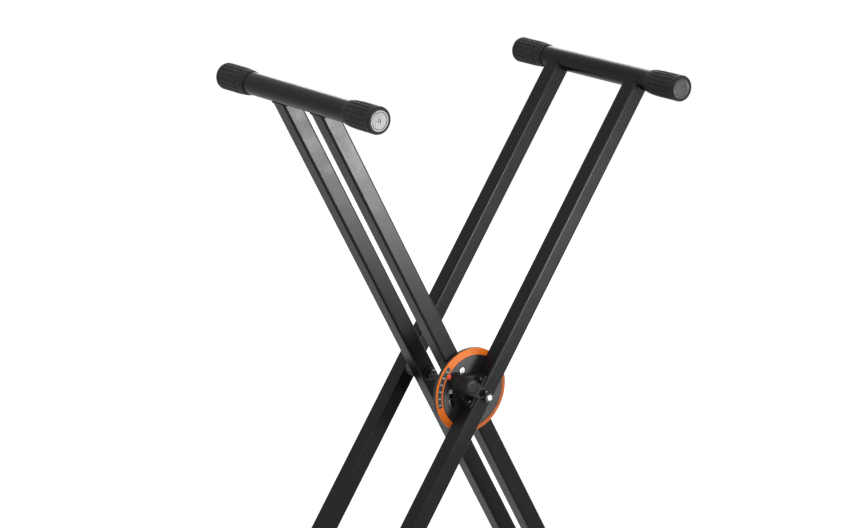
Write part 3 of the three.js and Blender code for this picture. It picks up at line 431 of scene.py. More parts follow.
def carve(target: bpy.types.Object, tools: Sequence[bpy.types.Object]) -> None:
    """Cuts objects from another one, and removes them.

    Args:
        target: The object that is changed.
        tools: The objects that cut it.
    """
    for tool in tools:
        modifier = target.modifiers.new("carve", "BOOLEAN")
        modifier.operation = "DIFFERENCE"
        modifier.solver = "EXACT"
        modifier.object = tool
    bpy.context.view_layer.update()
    graph = bpy.context.evaluated_depsgraph_get()
    mesh = bpy.data.meshes.new_from_object(target.evaluated_get(graph))
    target.modifiers.clear()
    target.data = mesh
    for tool in tools:
        bpy.data.objects.remove(tool)


def dress(
    piece: bpy.types.Object,
    finish: Finish,
    body: Body,
    *nodes: str,
    crease: float = 32.0,
    even: bool = True,
) -> None:
    """Gives a piece its finish and its shading, and lets it ride on its body.

    Args:
        piece: The piece.
        finish: Its finish.
        body: The body that carries it.
        *nodes: The CAD nodes that it stands for.
        crease: Edges sharper than this angle stay sharp.
        even: Whether its large flat faces set the normals.
    """
    mesh = piece.data
    mesh.materials.clear()
    mesh.materials.append(finish.material())
    mesh.polygons.foreach_set("material_index", [0] * len(mesh.polygons))
    mesh.polygons.foreach_set("use_smooth", [True] * len(mesh.polygons))
    mesh.set_sharp_from_angle(angle=math.radians(crease))
    if even:
        modifier = piece.modifiers.new("even", "WEIGHTED_NORMAL")
        modifier.keep_sharp = True
        modifier.weight = 80
    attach(piece, body.value)
    if nodes:
        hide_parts(*nodes)
    LOG.info("%s: %d faces, %s, on %s", piece.name, len(mesh.polygons), finish.slot, body.value)


def frame_axes(lean: float) -> Matrix:
    """Gives a frame's own axes.

    Args:
        lean: How far its arms lean from the vertical, in degrees.

    Returns:
        The matrix from the frame's millimetres to the stand's metres.
    """
    turn = Matrix.Rotation(math.radians(lean), 4, "Y")
    return Matrix.Translation((0.0, 0.0, PIVOT.z)) @ turn @ Matrix.Scale(MM, 4)


INNER_AXES = frame_axes(-HALF_ANGLE)
OUTER_AXES = frame_axes(HALF_ANGLE)


def depths(node: str) -> Point:
    """Measures how far a CAD node lies from the mid-plane.

    Args:
        node: The node's name.

    Returns:
        Its least and greatest distance along Y, in millimetres.
    """
    low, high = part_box(node)
    ends = sorted((abs(low.y) / MM, abs(high.y) / MM))
    return ends[0], ends[1]


def middle_depth(node: str) -> float:
    """Measures how far a CAD node's middle lies from the mid-plane.

    Args:
        node: The node's name.

    Returns:
        The distance along Y, in millimetres.
    """
    return sum(depths(node)) / 2


def arc(radius: float, start: float, end: float, steps: int, x: float = 0, z: float = 0) -> Loop:
    """Lists points along an arc, both ends included.

    Args:
        radius: Its radius.
        start: Its first angle.
        end: Its last angle.
        steps: Its number of steps.
        x: Its centre across the arms.
        z: Its centre along the arms.

    Returns:
        The points.
    """
    turns = [math.radians(start + (end - start) * i / steps) for i in range(steps + 1)]
    return [(x + radius * math.cos(turn), z + radius * math.sin(turn)) for turn in turns]


def circle(radius: float, sides: int, x: float = 0, z: float = 0) -> Loop:
    """Lists points round a circle.

    Args:
        radius: Its radius.
        sides: Its number of points.
        x: Its centre across the arms.
        z: Its centre along the arms.

    Returns:
        The points.
    """
    return arc(radius, 0, 360, sides, x, z)[:-1]


def spot(radius: float, angle: float) -> Point:
    """Finds a point on a circle about the pivot.

    Args:
        radius: The circle's radius.
        angle: The point's angle.

    Returns:
        The point.
    """
    return arc(radius, angle, angle, 1)[0]


def eased(corners: Sequence[Sequence[float]], closed: bool = True, steps: int = 4) -> Loop:
    """Rounds the corners of an outline.

    Args:
        corners: The corners as (x, y) or (x, y, ease), with how far from the corner it starts.
        closed: Whether the outline closes on itself.
        steps: The steps in each rounded corner.

    Returns:
        The outline's points.
    """
    points: Loop = []
    last = len(corners) - 1
    for i, corner in enumerate(corners):
        ease = corner[2] if len(corner) > 2 else 0
        here = Vector(corner[:2])
        if ease == 0 or (not closed and i in (0, last)):
            points.append((here.x, here.y))
            continue
        start = here + (Vector(corners[i - 1][:2]) - here).normalized() * ease
        end = here + (Vector(corners[0 if i == last else i + 1][:2]) - here).normalized() * ease
        for step in range(steps + 1):
            share = step / steps
            point = start.lerp(here, share).lerp(here.lerp(end, share), share)
            points.append((point.x, point.y))
    return points


def hoop(
    radius: float,
    depth: float,
    sides: int,
    side: Side = Side.FRONT,
    centre: Point = (0.0, 0.0),
) -> list[tuple[float, float, float]]:
    """Lists points round a circle about an axis along Y.

    Args:
        radius: Its radius.
        depth: Its depth.
        sides: Its number of points.
        side: The side of the stand that it is on.
        centre: Where the axis is, in X and Z.

    Returns:
        The points.
    """
    return [(x, side.value * depth, z) for x, z in circle(radius, sides, *centre)]


def turned(
    profile: Sequence[Point],
    sides: int,
    side: Side = Side.FRONT,
    bored: bool = False,
    centre: Point = (0.0, 0.0),
) -> Surface:
    """Turns a profile of (radius, depth) about an axis along Y.

    Args:
        profile: The profile, which closes on itself if the piece is bored.
        sides: The sides round the axis.
        side: The side of the stand that it is on.
        bored: Whether the piece is a ring.
        centre: Where the axis is, in X and Z.

    Returns:
        The surface.
    """
    rings = [hoop(radius, depth, sides, side, centre) for radius, depth in profile]
    return Surface().loft(rings, wrap=bored)


def plate(
    loops: Callable[[float], list[Loop]], back: float, front: float, edge: float, steps: int = 3
) -> Surface:
    """Makes a flat plate that faces the front, with rounded edges.

    Args:
        loops: Gives the outline and then the holes, all drawn in by a margin.
        back: Depth of its back face.
        front: Depth of its front face.
        edge: Radius of its edges.
        steps: Steps in the rounding.

    Returns:
        The surface.
    """
    rounding = [math.pi / 2 * i / steps for i in range(steps + 1)]
    levels = [(edge * (1 - math.sin(t)), back + edge * (1 - math.cos(t))) for t in rounding]
    levels += [(margin, back + front - depth) for margin, depth in reversed(levels)]
    drawn = [loops(margin) for margin, _ in levels]
    made = Surface()
    first: list[int] = []
    last: list[int] = []
    for k, loop in enumerate(drawn[0]):
        rings = [
            [(x, -depth, z) for x, z in outline[k]]
            for outline, (_, depth) in zip(drawn, levels)
        ]
        first.extend(range(len(made.points), len(made.points) + len(loop)))
        made.loft(rings, caps=False)
        last.extend(range(len(made.points) - len(loop), len(made.points)))
    flat = [[Vector((x, z, 0)) for x, z in loop] for loop in drawn[0]]
    for corners in tessellate_polygon(flat):
        made.faces.append([first[i] for i in corners])
        made.faces.append([last[i] for i in corners])
    return made


def piped(path: Sequence[Vector], radius: float, sides: int) -> Surface:
    """Makes a round wire along a path.

    Args:
        path: Points along its centre.
        radius: The wire's radius.
        sides: The sides of its section.

    Returns:
        The surface.
    """
    rings = []
    across = Vector((0.0, 1.0, 0.0))
    for i, here in enumerate(path):
        along = (path[min(i + 1, len(path) - 1)] - path[max(i - 1, 0)]).normalized()
        across = (across - along * across.dot(along)).normalized()
        up = along.cross(across)
        rings.append([here + across * x + up * z for x, z in circle(radius, sides)])
    return Surface().loft(rings)


class Casting:
    """A moulded shape, held as a field of distances on a regular grid."""

    def __init__(self, low: Sequence[float], high: Sequence[float], step: float) -> None:
        """Lays out the grid.

        Args:
            low: Its lowest X, depth and Z.
            high: Its highest X, depth and Z.
            step: Its spacing.
        """
        self.origin = np.array(low) - 2 * step
        self.step = step
        axes = [np.arange(a - 2 * step, b + 3 * step, step) for a, b in zip(low, high)]
        self.x, self.depth, self.z = np.meshgrid(*axes, indexing="ij")

    @staticmethod
    def pressed(across: Field, along: Field, ease: float) -> Field:
        """Joins a flat outline's distances with those of its thickness.

        Args:
            across: Distances from the outline.
            along: Distances from the two faces.
            ease: Radius of the edges.

        Returns:
            Distances from the solid.
        """
        across, along = across + ease, along + ease
        outside = np.hypot(np.maximum(across, 0), np.maximum(along, 0))
        return np.minimum(np.maximum(across, along), 0) + outside - ease

    def between(self, back: float, front: float) -> Field:
        """Gives distances from the space between two depths."""
        return np.abs(self.depth - (back + front) / 2) - (front - back) / 2

    def rod(self, x: float, radius: float, back: float, front: float, ease: float = 0) -> Field:
        """Gives distances from a rod along Y, with its axis at x and its edges eased."""
        across = np.hypot(self.x - x, self.z) - radius
        return self.pressed(across, self.between(back, front), ease)

    def cross_rod(self, depth: float, z: float, radius: float) -> Field:
        """Gives distances from an endless rod along X."""
        return np.hypot(self.depth - depth, self.z - z) - radius

    def taper(self, first: Point, second: Point, back: float, front: float, ease: float) -> Field:
        """Gives distances from a plate whose outline wraps two discs on the X axis.

        Args:
            first: One disc's X and radius.
            second: The other disc's X and radius, further along +X.
            back: The lesser depth.
            front: The greater depth.
            ease: Radius of its edges.

        Returns:
            The distances.
        """
        (start, radius), (end, end_radius) = first, second
        reach = end - start
        slope = (radius - end_radius) / reach
        level = math.sqrt(1 - slope * slope)
        along, off = self.x - start, np.abs(self.z)
        place = along * level - off * slope
        flank = off * level + along * slope - radius
        across = np.where(place < 0, np.hypot(along, off) - radius, flank)
        beyond = place > level * reach
        across = np.where(beyond, np.hypot(along - reach, off) - end_radius, across)
        return self.pressed(across, self.between(back, front), ease)

    def block(self, low: Sequence[float], high: Sequence[float], ease: float = 0) -> Field:
        """Gives distances from a block.

        Args:
            low: Its lowest X, depth and Z.
            high: Its highest X, depth and Z.
            ease: Radius of its edges.

        Returns:
            The distances.
        """
        sides = [
            np.abs(grid - (a + b) / 2) - (b - a) / 2 + ease
            for grid, a, b in zip((self.x, self.depth, self.z), low, high)
        ]
        outside = np.sqrt(sum(np.maximum(side, 0) ** 2 for side in sides))
        return np.minimum(np.maximum.reduce(sides), 0) + outside - ease

    @staticmethod
    def blend(first: Field, second: Field, reach: float) -> Field:
        """Joins two shapes' distances with a fillet of a given reach."""
        share = np.maximum(reach - np.abs(first - second), 0) / reach
        return np.minimum(first, second) - share * share * reach / 4

    @classmethod
    def cut(cls, base: Field, hole: Field, reach: float = 0.01) -> Field:
        """Cuts a hole's distances from a base's, with the rim rounded over a reach."""
        return -cls.blend(-base, hole, reach)

    def skin(self, field: Field) -> Surface:
        """Skins the shape: one point in each cell that the surface crosses.

        Args:
            field: Distances from the shape, less than nought inside.

        Returns:
            The surface.
        """
        inside = field < 0
        cells = tuple(size - 1 for size in field.shape)
        place = np.zeros((*cells, 3))
        number = np.zeros(cells)
        base = np.stack(np.meshgrid(*map(np.arange, cells), indexing="ij"), -1).astype(float)
        for axis in range(3):
            for offset in itertools.product((0, 1), repeat=2):
                shift = np.insert(offset, axis, 0)
                near = tuple(slice(s, s + n) for s, n in zip(shift, cells))
                shift_far = np.insert(offset, axis, 1)
                far = tuple(slice(s, s + n) for s, n in zip(shift_far, cells))
                crossed = inside[near] != inside[far]
                spread = np.where(crossed, field[near] - field[far], 1.0)
                step = np.zeros((*cells, 3))
                step[..., axis] = field[near] / spread
                place += crossed[..., None] * (base + shift + step)
                number += crossed
        mixed = number > 0
        index = np.full(cells, -1)
        index[mixed] = np.arange(mixed.sum())
        middle = place[mixed] / number[mixed][:, None]
        points = self.origin + middle * self.step
        made = Surface()
        made.points = [Vector((x, -depth, z)) for x, depth, z in points.tolist()]
        for axis in range(3):
            moved = np.moveaxis(inside, axis, 0)
            cell = np.moveaxis(index, axis, 0)
            crossed = moved[:-1, 1:-1, 1:-1] != moved[1:, 1:-1, 1:-1]
            corners = [
                cell[:, :-1, :-1][crossed],
                cell[:, 1:, :-1][crossed],
                cell[:, 1:, 1:][crossed],
                cell[:, :-1, 1:][crossed],
            ]
            made.faces.extend(np.stack(corners, -1).tolist())
        return made


# ---------------------------------------------------------------- the two frames


@dataclass
class TubeFrame:
    """One braced frame: two square arms between a top bar and a base bar, with its rubber caps.

    Attributes:
        name: The frame's name in the CAD nodes.
        lean: How far its arms lean, in degrees.
        body: The body that it is.
    """

    name: str
    lean: float
    body: Body
    arm_length: float = 489.0  # pivot to a bar's axis
    arm_size: float = 25.0
    arm_wall: float = 1.5
    arm_corner: float = 3.0
    bar_radius: float = 15.0
    bar_wall: float = 1.5
    bore_radius: float = 7.3  # for the bush at the pivot
    bead_radius: float = 2.1  # of a weld
    ripple_pitch: float = 2.3  # of a weld
    cap_lip: float = 1.2  # wall at the cap's mouth
    cap_wall: float = 3.2
    cap_swell: float = 22.0  # length in which the wall reaches its full thickness
    cap_seat: float = 5.2  # the plug's seat, from the cap's end
    cap_band: float = 5.6  # the smooth band at the cap's end
    flutes: int = 18
    flute_depth: float = 1.4
    flute_width: float = 1.25
    flute_start: float = 10.0
    flute_fade: float = 5.0
    flute_stop: float = 7.2  # from the cap's end
    plug_ledge: float = 0.3  # the seat's radius is this much less than the bar's
    dish_radius: float = 11.6  # of the plug's face
    foot_lip: float = 2.0  # wall at the foot's mouth
    foot_wall: float = 5.0
    foot_taper: float = 12.0  # length in which the wall reaches its full thickness
    foot_end: float = 4.0
    rib_pitch: float = 5.2
    rib_height: float = 0.5

    @property
    def axes(self) -> Matrix:
        """The frame's own axes."""
        return frame_axes(self.lean)

    def bar_axes(self, end: int) -> Matrix:
        """Gives level axes about the middle of the top bar (end 1) or the base bar (end -1)."""
        middle = self.axes @ Vector((0.0, 0.0, end * self.arm_length))
        return Matrix.Translation(middle) @ Matrix.Scale(MM, 4)

    def section(self, size: float, corner: float) -> Loop:
        """Draws a square with rounded corners and divided sides.

        Args:
            size: Its width.
            corner: Radius of its corners.

        Returns:
            Its outline.
        """
        reach = size / 2 - corner
        points: Loop = []
        for quarter in range(4):
            middle = math.radians(quarter * 90 + 45)
            x = math.copysign(reach, math.cos(middle))
            y = math.copysign(reach, math.sin(middle))
            bend = arc(corner, quarter * 90, quarter * 90 + 90, 7, x, y)
            points.extend(bend)
            turn = math.radians(quarter * 90 + 90)
            run = Vector((-math.sin(turn), math.cos(turn))) * 2 * reach
            x, y = bend[-1]
            points.extend((x + run.x * i / 12, y + run.y * i / 12) for i in range(1, 12))
        return points

    def saddle(self, x: float, clearance: float = 0.1) -> float:
        """Gives how far an arm's end stands off a bar's axis, at a place across the arm."""
        return math.sqrt((self.bar_radius + clearance) ** 2 - x * x)

    def arm(self, side: Side) -> None:
        """Makes an arm: a square tube with saddled ends and a pivot bore.

        Args:
            side: The side that it is on.
        """
        node = f"{self.name}_{side.word}_arm"
        back, front = depths(node)
        y = side.value * middle_depth(node)
        outer = self.section(self.arm_size, self.arm_corner)
        inner = self.section(self.arm_size - 2 * self.arm_wall, self.arm_corner - self.arm_wall)
        rings = []
        for (x, w), (u, v) in zip(outer, inner):
            reach, reach_in = self.arm_length - self.saddle(x), self.arm_length - self.saddle(u)
            ring = [(x, y + w, -reach), (x, y + w, reach)]
            rings.append([*ring, (u, y + v, reach_in), (u, y + v, -reach_in)])
        tube = Surface().loft(rings, wrap=True).shape(node + "_tube", self.axes)
        profile = [(self.bore_radius, back - 1), (self.bore_radius, front + 1)]
        carve(tube, [turned(profile, 40, side).shape("bore", self.axes)])
        dress(tube, PAINT, self.body, node, crease=28.0)

    def weld(self, side: Side, end: int) -> None:
        """Lays the rippled bead where an arm meets a bar.

        Args:
            side: The side that the arm is on.
            end: 1 at the top bar, -1 at the base bar.
        """
        y = side.value * middle_depth(f"{self.name}_{side.word}_arm")
        outline = [Vector(point) for point in self.section(self.arm_size, self.arm_corner)]
        outline.append(outline[0])
        lengths = np.cumsum([0.0] + [(b - a).length for a, b in itertools.pairwise(outline)])
        count = int(lengths[-1] / self.ripple_pitch) * 6
        rings = []
        for i in range(count):
            run = lengths[-1] * i / count
            (x, w), (ahead_x, ahead_w) = (
                [np.interp(place, lengths, [p[k] for p in outline]) for k in (0, 1)]
                for place in (run, (run + 0.3) % lengths[-1])
            )
            out = Vector((ahead_w - w, x - ahead_x, 0.0)).normalized()
            up = Vector((0.0, 0.0, float(end)))
            phase = (run / self.ripple_pitch) % 1.0
            radius = self.bead_radius * (0.88 + 0.16 * math.sin(math.pi * phase) ** 0.7)
            here = Vector((x, y + w, end * (self.arm_length - self.saddle(x, 0.3)))) - out * 0.5
            rings.append([here + out * a + up * b for a, b in circle(radius, 10)])
        name = f"{self.name}_{side.word}_{'top' if end > 0 else 'base'}_weld"
        dress(Surface().loft(rings, wrap=True).shape(name, self.axes), PAINT, self.body, even=False)

    def bar(self, node: str, end: int) -> None:
        """Makes a bar: a round tube along Y.

        Args:
            node: The bar's CAD node.
            end: 1 for the top bar, -1 for the base bar.
        """
        half = depths(node)[1]
        inner = self.bar_radius - self.bar_wall
        outer = self.bar_radius
        outline = [(inner, -half), (outer, -half, 0.3), (outer, half, 0.3), (inner, half)]
        pipe = turned(eased(outline), 96, bored=True)
        dress(pipe.shape(node + "_pipe", self.bar_axes(end)), PAINT, self.body, node)

    def top_cap(self, side: Side) -> None:
        """Makes a fluted cap on the end of the top bar.

        Args:
            side: The side that it is on.
        """
        node = f"{self.name}_{side.word}_top_cap"
        start, end = depths(node)
        length, seat = end - start, end - self.cap_seat
        lip, full = self.bar_radius + self.cap_lip, self.bar_radius + self.cap_wall
        bore, ring = self.bar_radius + GAP, self.bar_radius - self.plug_ledge
        band, flute_end = length - self.cap_band, length - self.flute_stop
        profile: Loop = [(0.0, lip - 0.5), (0.5, lip)]
        for i in range(1, 33):
            along = 0.5 + (band - 0.5) * i / 32
            rise = min(1.0, along / self.cap_swell)
            profile.append((along, lip + (full - lip) * math.sin(rise * math.pi / 2)))
        for angle in map(math.radians, range(0, 91, 10)):
            radius = full - 2.6 * (1 - math.cos(angle))
            profile.append((length - 5.0 * (1 - math.sin(angle)), radius))
        rings = []
        pitch = 2 * math.pi / self.flutes
        sides = self.flutes * 14
        for along, radius in profile:
            ease_in = min(max((along - self.flute_start) / self.flute_fade, 0.0), 1.0)
            ease_out = min(max((flute_end - along) / 2.0, 0.0), 1.0)
            ease_in, ease_out = (math.sin(ease * math.pi / 2) for ease in (ease_in, ease_out))
            depth = self.flute_depth * ease_in * ease_out
            groove = 0.35 * math.exp(-(((along - band + 0.3) / 0.7) ** 2))
            points = []
            for angle in (2 * math.pi * i / sides for i in range(sides)):
                off = ((angle + pitch / 2) % pitch - pitch / 2) * radius
                swell_out = 0.12 * depth * (1 - abs(off) / (pitch * radius / 2))
                cut = depth * math.exp(-((off / self.flute_width) ** 2)) - swell_out
                reach = radius - cut - groove - (0.12 * self.flute_depth if depth > 0 else 0.0)
                x, z = reach * math.cos(angle), reach * math.sin(angle)
                points.append((x, side.value * (start + along), z))
            rings.append(points)
        inside = [(ring + 0.3, end), (ring, end - 0.3), (ring, seat), (bore, seat), (bore, start)]
        rings.extend(hoop(radius, depth, sides, side) for radius, depth in inside)
        cap = Surface().loft(rings, wrap=True).shape(node + "_grip", self.bar_axes(1))
        dress(cap, RUBBER, self.body, node, crease=50.0, even=False)

    def end_plug(self, side: Side) -> None:
        """Makes the plug in a top cap: a stub in the tube and a flange with a dished face.

        Args:
            side: The side that it is on.
        """
        node = f"{self.name}_{side.word}_end_plug"
        start, face = depths(node)
        flange = self.bar_radius - self.plug_ledge - GAP
        stub, dish = self.bar_radius - self.bar_wall - GAP, self.dish_radius
        seat = depths(f"{self.name}_top_bar")[1] + GAP
        outline = [
            (2.0, start), (stub, start, 0.8), (stub, seat), (flange, seat), (flange, face, 0.9),
            (dish, face, 0.3), (dish - 0.4, face - 0.4, 0.4), (2.0, face - 0.2, 0.5),
            (1.4, face - 0.6),
        ]
        plug = turned(eased(outline, closed=False), 72, side)
        dress(plug.shape(node + "_disc", self.bar_axes(1)), PLUG, self.body, node)

    def foot(self, side: Side) -> None:
        """Makes a ribbed foot on the end of the base bar, flat where it stands.

        Args:
            side: The side that it is on.
        """
        node = f"{self.name}_{side.word}_base_cap"
        start, end = depths(node)
        length, bore = end - start, self.bar_radius + GAP
        floor = length - self.foot_end
        lip, full = self.bar_radius + self.foot_lip, self.bar_radius + self.foot_wall
        drop = PIVOT.z / MM - self.arm_length * math.cos(math.radians(self.lean))
        stations: Loop = [(0.0, lip - 0.6), (0.6, lip)]
        for i in range(1, 61):
            along = 0.6 + (floor - 0.6) * i / 60
            radius = lip + (full - lip) * min(1.0, along / self.foot_taper)
            ribbed = self.foot_taper < along < length - 7
            wave = math.sin((along - self.foot_taper) / self.rib_pitch * 2 * math.pi)
            stations.append((along, radius - self.rib_height * max(0.0, wave) * ribbed))
        for angle in map(math.radians, range(10, 91, 10)):
            along = length - self.foot_end * (1 - math.sin(angle))
            stations.append((along, full - 3 * (1 - math.cos(angle))))
        inside = [(floor, 1.0), (floor, bore), (0.0, bore)]
        rings = []
        for along, radius in [(length, 6.0), *reversed(stations), *reversed(inside)]:
            points = circle(radius, 120)
            rings.append([(x, side.value * (start + along), max(z, -drop)) for x, z in points])
        cap = Surface().loft(rings).shape(node + "_boot", self.bar_axes(-1))
        dress(cap, RUBBER, self.body, node, crease=40.0, even=False)

    def build(self) -> None:
        """Makes every visible piece of the frame."""
        for end, node in ((1, f"{self.name}_top_bar"), (-1, f"{self.name}_base_bar")):
            self.bar(node, end)
        for side in Side:
            self.arm(side)
            self.weld(side, 1)
            self.weld(side, -1)
            self.top_cap(side)
            self.end_plug(side)
            self.foot(side)


# ---------------------------------------------------------------- pivots


@dataclass
class Pivots:
    """The bolts that the frames turn on, with their nuts, washers and spacers."""

    bolt_radius: float = 4.0
    hex_radius: float = 7.5  # to a corner
    head_height: float = 5.5
    thread_pitch: float = 1.25
    thread_depth: float = 0.55
    threaded: float = 14.0  # length of the thread
    sides: int = 72

    def hexagon(self, side: Side, back: float, front: float) -> list[Any]:
        """Lists the rings of a head or a nut with its corners cut back at both faces.

        Args:
            side: The side that it is on.
            back: The lesser depth.
            front: The greater depth.

        Returns:
            The rings, with rising depth.
        """
        flat = self.hex_radius * math.cos(math.radians(30))
        rises = [0.0, 0.12, 0.25, 0.4, 0.6, 0.85]
        levels = [back + rise for rise in rises] + [front - rise for rise in reversed(rises)]
        rings = []
        for level in levels:
            cone = flat * 0.95 + min(level - back, front - level) * math.tan(math.radians(60))
            ring = []
            for angle in (360 * i / self.sides for i in range(self.sides)):
                edge = flat / math.cos(math.radians((angle - 30) % 60 - 30))
                x, z = spot(min(edge, cone), angle)
                ring.append((x, side.value * level, z))
            rings.append(ring)
        return rings

    def shank(self, length: float) -> Loop:
        """Draws a bolt's shank, with thread at its tail.

        Args:
            length: Its length.

        Returns:
            Its profile of (radius, distance from the head).
        """
        root = self.bolt_radius - self.thread_depth
        profile: Loop = [(self.bolt_radius, 0.0), (self.bolt_radius, length - self.threaded)]
        crest = length - self.threaded + self.thread_pitch / 2
        while crest < length - self.thread_pitch:
            profile += [(root, crest), (self.bolt_radius, crest + self.thread_pitch / 2)]
            crest += self.thread_pitch
        tail = [(self.bolt_radius - 0.1, length - 0.6), (root, length - 0.1), (root - 0.4, length)]
        return profile + tail

    def bolt(self, side: Side, finish: Finish) -> None:
        """Makes a bolt: the front one's head is inside the stand and the rear one's outside.

        Args:
            side: The side that it is on.
            finish: Its finish.
        """
        node = f"{side.word}_pivot_bolt"
        back, front = depths(node)
        profile = self.shank(front - back - self.head_height)
        if side is Side.FRONT:
            seat = back + self.head_height
            rings = self.hexagon(side, back, seat)
            rings += [hoop(radius, seat + run, self.sides, side) for radius, run in profile]
        else:
            seat = front - self.head_height
            profile.reverse()
            rings = [hoop(radius, seat - run, self.sides, side) for radius, run in profile]
            rings += self.hexagon(side, seat, front)
        steel = Surface().loft(rings).shape(node + "_steel", OUTER_AXES)
        dress(steel, finish, Body.OUTER, node, crease=25.0)

    def nut(self, side: Side) -> None:
        """Makes a nut.

        Args:
            side: The side that it is on.
        """
        node = f"{side.word}_pivot_nut"
        back, front = depths(node)
        bore = self.bolt_radius + GAP / 3
        inside = [(bore + 0.5, front), (bore, front - 0.5), (bore, back + 0.5), (bore + 0.5, back)]
        rings = self.hexagon(side, back, front)
        rings += [hoop(radius, depth, self.sides, side) for radius, depth in inside]
        steel = Surface().loft(rings, wrap=True).shape(node + "_steel", OUTER_AXES)
        dress(steel, DARK, Body.OUTER, node, crease=25.0)

    def washer(self, node: str, radius: float, finish: Finish, ease: float) -> None:
        """Makes a washer or a spacer in place of its node.

        Args:
            node: The CAD node.
            radius: Its outer radius.
            finish: Its finish.
            ease: Rounding of its outer edges.
        """
        back, front = depths(node)
        side = Side.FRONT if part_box(node)[0].y < 0 else Side.REAR
        bore = self.bolt_radius + GAP
        outline = [
            (bore, back, 0.2), (radius, back, ease), (radius, front, ease), (bore, front, 0.2),
        ]
        made = turned(eased(outline), 72, side, bored=True)
        dress(made.shape(node + "_ring", OUTER_AXES), finish, Body.OUTER, node)

    def build(self) -> None:
        """Makes both pivots."""
        for side, finish in ((Side.FRONT, ZINC), (Side.REAR, DARK)):
            self.bolt(side, finish)
            self.nut(side)
            self.washer(f"{side.word}_pivot_washer", 10.0, DARK, 0.25)
        self.washer("rear_arm_spacer", 12.0, NYLON, 0.8)
        self.washer("thrust_washer", 20.0, NYLON, 0.6)


# ---------------------------------------------------------------- the drum


def cross_cutters(
    centre: Vector, along: Vector, reach: float, depth: float, axes: Matrix
) -> list[bpy.types.Object]:
    """Makes the two bars that cut a cross in a screw's head.

    Args:
        centre: The middle of the head's face.
        along: The direction out of the head.
        reach: Half the cross's width.
        depth: Its depth.
        axes: The matrix from these millimetres to the stand's metres.

    Returns:
        The bars.
    """
    aim = Vector((0.0, 1.0, 0.0)).rotation_difference(along).to_matrix().to_4x4()
    made = []
    for turn in (45, 135):
        rings = []
        for level, shrink, thick in ((-depth, 0.45, 0.5), (0.6, 1.0, 0.8)):
            half = reach * shrink
            corners = [(half, thick), (-half, thick), (-half, -thick), (half, -thick)]
            rings.append([(x, level, z) for x, z in corners])
        place = Matrix.Translation(centre) @ aim @ Matrix.Rotation(math.radians(turn), 4, "Y")
        made.append(Surface().loft(rings).moved(place).shape("cross", axes))
    return made


